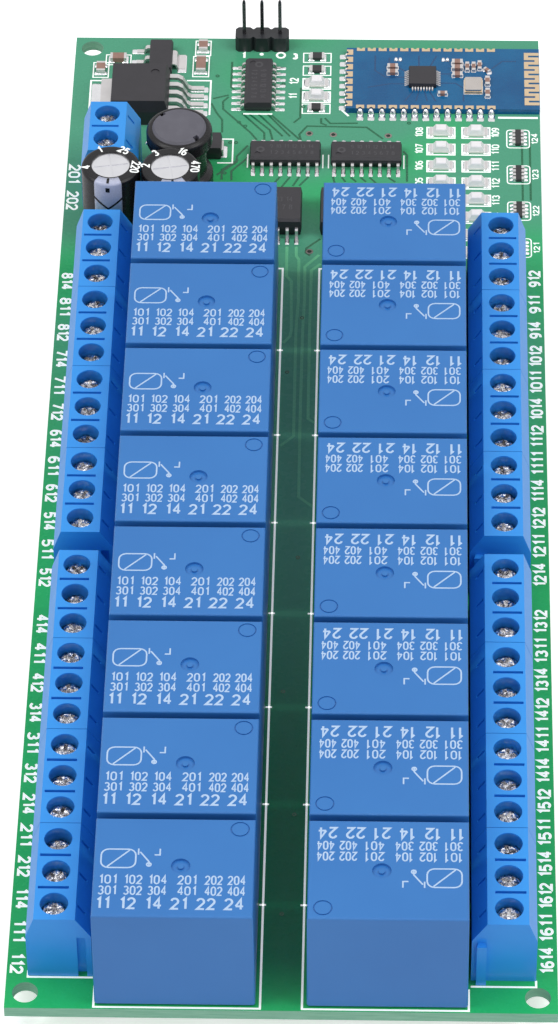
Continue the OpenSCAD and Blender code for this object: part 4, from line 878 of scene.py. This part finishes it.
# pin signs in front of the plug header: 1, a dot, a ring and 3
headerSigns = {"numbers": {"1": (-9.0, 85.3), "3": (-1.65, 85.2)}, "size": (1.35, 0.34),
               "rings": ((-3.7, 85.4, 0.42, 0.72, 18), (-6.45, 85.6, 0.05, 0.3, 12))}
for text, (x, y) in headerSigns["numbers"].items():
    marks += boardNumber(text, x, y, 0.0, *headerSigns["size"])
for x, y, inner, outer, sides in headerSigns["rings"]:
    marks.append(ringBlock(x, y, inner, outer, boardTop, boardTop + silk["thick"], sides))
makePiece("board_print", marks, inks["silkWhitePaintedGlow"], smooth=False)
print("board print:", len(marks), "strokes")


# print on the relays

relayPrint = {"thick": 0.02, "small": (1.43, 0.2), "big": (1.84, 0.28), "sign": 0.2, "layer": 0.2}
# rows of numbers as text, kind, both ends and height on the face; the signs are a coil and a contact
relayRows = [("11 12 14 21 22 24", "big", -9.07, 8.41, -5.62)]
for y, first, second in ((-1.97, 1, 2), (-3.65, 3, 4)):
    for text, x0, x1 in ((f"{first}01", -8.83, -6.6), (f"{first}02 {first}04", -5.85, -0.73),
                         (f"{second}01", 0.49, 2.8), (f"{second}02 {second}04", 3.7, 8.54)):
        relayRows.append((text, "small", x0, x1, y))
relaySigns = [
    (roundedOutline(4.1, 2.86, 0.9, 5) + (-6.6, 1.27), True), ([(-7.9, -0.02), (-5.3, 2.56)], False),
    ([(-2.97, 0.0), (-2.97, 0.8), (-4.05, 2.3)], False), ([(-4.25, 2.8), (-4.25, 1.85)], False),
    ([(-1.7, 2.8), (-1.7, 1.85), (-2.35, 1.85)], False), (oval(-2.97, 0.35, 0.26, 0.26, 13)[:-1], True)]
shapes = []
for k, (path, closed) in enumerate(relaySigns):
    lifted = relayPrint["thick"] * (1 + relayPrint["layer"] * k)
    shapes.append(ribbon(path, relayPrint["sign"], lifted, closed=closed))
for text, kind, x0, x1, y in relayRows:
    row = numberBlocks(text, *relayPrint[kind], relayPrint["thick"], x1 - x0)
    shapes += [placed(b, (x0 + x1) / 2, y) for b in row]
blocks = []
for side, boxes in relayBoxes.items():
    turned = [placed(b, turn=0.0 if side == "left" else math.pi) for b in shapes]
    for low, high in boxes:
        x, y = (low[:2] + high[:2]) / 2
        blocks += [placed(b, x, y, high[2]) for b in turned]
makePiece("relay_print", blocks, inks["printBlue"], smooth=False)
print("relay print:", len(blocks), "strokes")


# faint pin numbers on the chips

chipPrint = {"thick": 0.01, "stroke": 0.13, "share": 0.62, "alongTurned": -0.7, "along": 0.9,
             "rows": {"9 10 11 12 13 14": 0.85, "1 2 3 4 5 6 7 8": -0.75},
             "ring": (0.3, 0.6), "ringIn": 1.5}
blocks = []
for node, height in (("logic_chip_bodies", 0.8), ("driver_chip_bodies", 1.0)):
    for low, high in nodeSolids(node):
        x, y = (low[:2] + high[:2]) / 2
        size = high - low
        turn = -math.pi / 2 if size[1] > size[0] else 0.0
        span = max(size[0], size[1]) * chipPrint["share"]
        for text, across in chipPrint["rows"].items():
            row = numberBlocks(text, height, chipPrint["stroke"], chipPrint["thick"], span)
            across *= height
            dx, dy = (across, chipPrint["alongTurned"]) if turn else (chipPrint["along"], across)
            blocks += [placed(b, x + dx, y + dy, high[2], turn) for b in row]
        mark = (x, high[1] - chipPrint["ringIn"]) if turn else (low[0] + chipPrint["ringIn"], y)
        blocks.append(ringBlock(*mark, *chipPrint["ring"], high[2], high[2] + chipPrint["thick"]))
makePiece("chip_print", blocks, inks["chipGrey"], smooth=False)
print("chip print:", len(blocks), "strokes")


# stripe, mark and numbers on the capacitors

stripe = {"half": 28.0, "columns": 15, "disc": 2.8, "bend": 0.45, "bendRows": 5, "neck": 2.0, "down": 10.2,
          "lift": 0.02}
canMark = {"lift": 0.045, "edge": 2.85, "tip": 4.5, "band": 0.19, "bar": (1.0, 0.36, 0.12, 3),
           "barAt": 3.35, "spotHalf": 4, "spot": (1.5, 0.75)}
canNumber = {"size": (1.3, 0.22), "at": 3.4}
# direction of each can's stripe in degrees, and of the numbers round its top
cans = [(-94.0, {"25": 60.0, "1": 118.0, "220": -8.0, "4": 190.0}),
        (-82.0, {"3": 128.0, "16": 62.0, "470": 0.0, "2": 178.0})]
light, dark, white = [], [], []
sleeves = sorted(nodeSolids("capacitor_sleeves"), key=lambda b: b[0][0])
for (low, high), (middle, numbers) in zip(sleeves, cans):
    centre, radius, top = (low[:2] + high[:2]) / 2, (high[0] - low[0]) / 2, high[2]
    bend = stripe["bend"]
    rim = [(radius - bend + bend * math.cos(t), top - bend + bend * math.sin(t))
           for t in np.linspace(0, math.pi / 2, stripe["bendRows"])]
    path = [(radius, top - stripe["down"]), (radius, top - stripe["neck"])] + rim + [(stripe["disc"], top)]
    sector = np.radians(np.linspace(middle - stripe["half"], middle + stripe["half"], stripe["columns"]))
    light.append(wrapped(centre, path, sector, stripe["lift"]))
    # a chevron: height falls evenly from both edges of the stripe to its middle
    t = np.linspace(-1, 1, stripe["columns"])
    fall = canMark["tip"] - (canMark["tip"] - canMark["edge"]) * np.abs(t)
    grids = []
    for lift in (canMark["lift"], 0.0):
        ring = centre + (radius + lift) * np.stack([np.cos(sector), np.sin(sector)], -1)
        grids.append(np.stack([np.column_stack([ring, top - fall + offset])
                               for offset in (-canMark["band"], canMark["band"])]))
    dark.append(shell(*grids))
    # a bar on the top and a short dash on the side
    a = math.radians(middle)
    x, y = centre + canMark["barAt"] * np.array((math.cos(a), math.sin(a)))
    dark.append(stack(roundedOutline(*canMark["bar"]), [1, 1], [0.0, canMark["lift"]], (x, y, top), a))
    spot = np.radians(np.linspace(middle - canMark["spotHalf"], middle + canMark["spotHalf"], 4))
    dark.append(wrapped(centre, [(radius, top - down) for down in canMark["spot"]], spot, canMark["lift"]))
    for text, degrees in numbers.items():
        t = math.radians(degrees)
        x, y = centre + canNumber["at"] * np.array((math.cos(t), math.sin(t)))
        row = numberBlocks(text, *canNumber["size"], stripe["lift"])
        white += [placed(b, x, y, top, t - math.pi / 2) for b in row]
makePiece("can_stripes", light, inks["sleeveStripe"])
makePiece("can_marks", dark, skins["black_sleeve"], smooth=False)
makePiece("can_numbers", white, inks["silkWhitePaintedGlow"], smooth=False)
print("capacitor print done")


# pads and tracks on the underside

under = {"land": 0.04, "ring": 0.3, "lap": 0.12, "sides": 20, "track": 2.0, "thick": 0.035,
         "rowFrom": 24.2, "reachX": 9.4, "reachY": 7.4, "bendMiddle": 0.12, "bendSide": 0.35}
below = float(boardLow[2])
joints = [((low[:2] + high[:2]) / 2, (high[0] - low[0]) / 2) for low, high in nodeSolids("solder_joints")]
rings = [ringBlock(*centre, radius - under["lap"], radius + under["ring"], below - under["land"], below,
                   under["sides"]) for centre, radius in joints]
makePiece("under_pads", rings, skins["solder"], smooth=False)
places = np.array([centre for centre, radius in joints])
links = []
for side, boxes in relayBoxes.items():
    outside = places[(np.abs(places[:, 0]) > under["rowFrom"]) & ((places[:, 0] < 0) == (side == "left"))]
    for low, high in boxes:
        # three tracks: the relay's middle contact and its two far pins to the nearest terminal pins
        middle = (low[:2] + high[:2]) / 2
        away = np.abs(places - middle)
        own = places[(away[:, 0] < under["reachX"]) & (away[:, 1] < under["reachY"])]
        common = own[np.argmin(np.abs(own[:, 1] - middle[1]))]
        far = own[np.argsort(-np.abs(own[:, 0] - common[0]))[:2]]
        near = outside[np.argsort(np.abs(outside[:, 1] - middle[1]))[:3]]
        for start, end in zip(near[np.argsort(near[:, 1])], sorted([common, *far], key=lambda p: p[1])):
            share = under["bendMiddle"] if end is common else under["bendSide"]
            links.append([start, (end[0] + (start[0] - end[0]) * share, end[1]), end])
tracksBelow = [placed(ribbon(path, under["track"], under["thick"], -under["thick"]), z=below)
               for path in links]
makePiece("under_tracks", tracksBelow, inks["maskGreen"], smooth=False)
print("underside:", len(rings), "pads,", len(tracksBelow), "tracks")


# studio

studio = {"floor": (236, 236, 238), "floorRough": 0.8, "floorGlow": 0.6, "floorHalf": 6.0,
          "floorDown": 0.0002, "world": 0.36}
# place, width and length, and power of each lamp; all of them face the origin
lampsAround = {"leftLamp": ((-0.5, -0.1, 0.75), (0.5, 0.6), 3.4),
               "rightLamp": ((0.5, -0.1, 0.75), (0.5, 0.6), 3.2),
               "fillLamp": ((0.1, -0.75, 0.4), (0.6, 0.5), 0.8)}
view = {"place": (0.01229, -0.47927, 0.48569), "yaw": -1.730, "pitch": -45.493, "roll": -0.693,
        "lens": 182.49, "sensor": 36.0, "near": 0.01, "far": 20.0}


def studioFloor(v):
    # a pale floor that keeps its shadows, with a glow that only the camera sees
    material, tree, shader = newMaterial("studioFloor")[:3]
    shader.inputs["Base Color"].default_value = linear(v["floor"])
    shader.inputs["Roughness"].default_value = v["floorRough"]
    path = tree.nodes.new("ShaderNodeLightPath")
    seen = worked(tree, "MULTIPLY", path.outputs["Is Camera Ray"], v["floorGlow"])
    glow = addNode(tree, "ShaderNodeEmission", Color=(1, 1, 1, 1), Strength=seen)
    both = addNode(tree, "ShaderNodeAddShader", i0=shader.outputs[0], i1=glow.outputs[0])
    tree.links.new(both.outputs[0], tree.nodes["Material Output"].inputs["Surface"])
    half = v["floorHalf"]
    mesh = bpy.data.meshes.new("studio_floor")
    mesh.from_pydata([(-half, -half, 0), (half, -half, 0), (half, half, 0), (-half, half, 0)], [],
                     [(0, 1, 2, 3)])
    mesh.materials.append(material)
    floor = bpy.data.objects.new("studio_floor", mesh)
    floor.location.z = -v["floorDown"]
    bpy.context.scene.collection.objects.link(floor)


def studioWorld(v):
    # white behind the object and in its reflections, with a plain level of light on it
    world = bpy.data.worlds.new("studioWorld")
    world.use_nodes = True
    tree = world.node_tree
    rays = tree.nodes.new("ShaderNodeLightPath").outputs
    seen = worked(tree, "MAXIMUM", rays["Is Camera Ray"], rays["Is Glossy Ray"])
    seen = worked(tree, "MAXIMUM", seen, rays["Is Transmission Ray"])
    level = addNode(tree, "ShaderNodeMapRange", Value=seen, i3=v["world"], i4=1.0)
    background = tree.nodes["Background"]
    background.inputs["Color"].default_value = (1, 1, 1, 1)
    tree.links.new(level.outputs["Result"], background.inputs["Strength"])
    bpy.context.scene.world = world


def stand(name, data, place, axes):
    # puts a lamp or the camera at its place; axes are its right, up and backward directions
    holder = bpy.data.objects.new(name, data)
    holder.matrix_world = Matrix.Translation(place) @ Matrix(np.stack(axes, 1).tolist()).to_4x4()
    bpy.context.scene.collection.objects.link(holder)
    return holder


def softLamp(name, place, size, power):
    # an area lamp that faces the origin, with its width level
    lamp = bpy.data.lights.new(name, "AREA")
    lamp.shape, lamp.size, lamp.size_y, lamp.energy = "RECTANGLE", size[0], size[1], power
    away = np.array(place) / np.linalg.norm(place)
    across = np.cross((0, 0, 1), away)
    across /= np.linalg.norm(across)
    stand(name, lamp, place, (across, np.cross(away, across), away))


def mainCamera(v):
    # looks along yaw and pitch, and is then turned about that line by roll
    yaw, pitch, roll = (math.radians(v[k]) for k in ("yaw", "pitch", "roll"))
    ahead = np.array([math.sin(yaw) * math.cos(pitch), math.cos(yaw) * math.cos(pitch), math.sin(pitch)])
    level = np.array([math.cos(yaw), -math.sin(yaw), 0.0])
    above = np.cross(level, ahead)
    right = level * math.cos(roll) + above * math.sin(roll)
    up = above * math.cos(roll) - level * math.sin(roll)
    lens = bpy.data.cameras.new("mainCamera")
    lens.sensor_width, lens.lens = v["sensor"], v["lens"]
    lens.clip_start, lens.clip_end = v["near"], v["far"]
    return stand("mainCamera", lens, v["place"], (right, up, -ahead))


studioFloor(studio)
studioWorld(studio)
for name, values in lampsAround.items():
    softLamp(name, *values)
bpy.context.scene.camera = mainCamera(view)
bpy.context.scene.view_settings.view_transform = "Standard"
print("studio and camera set")
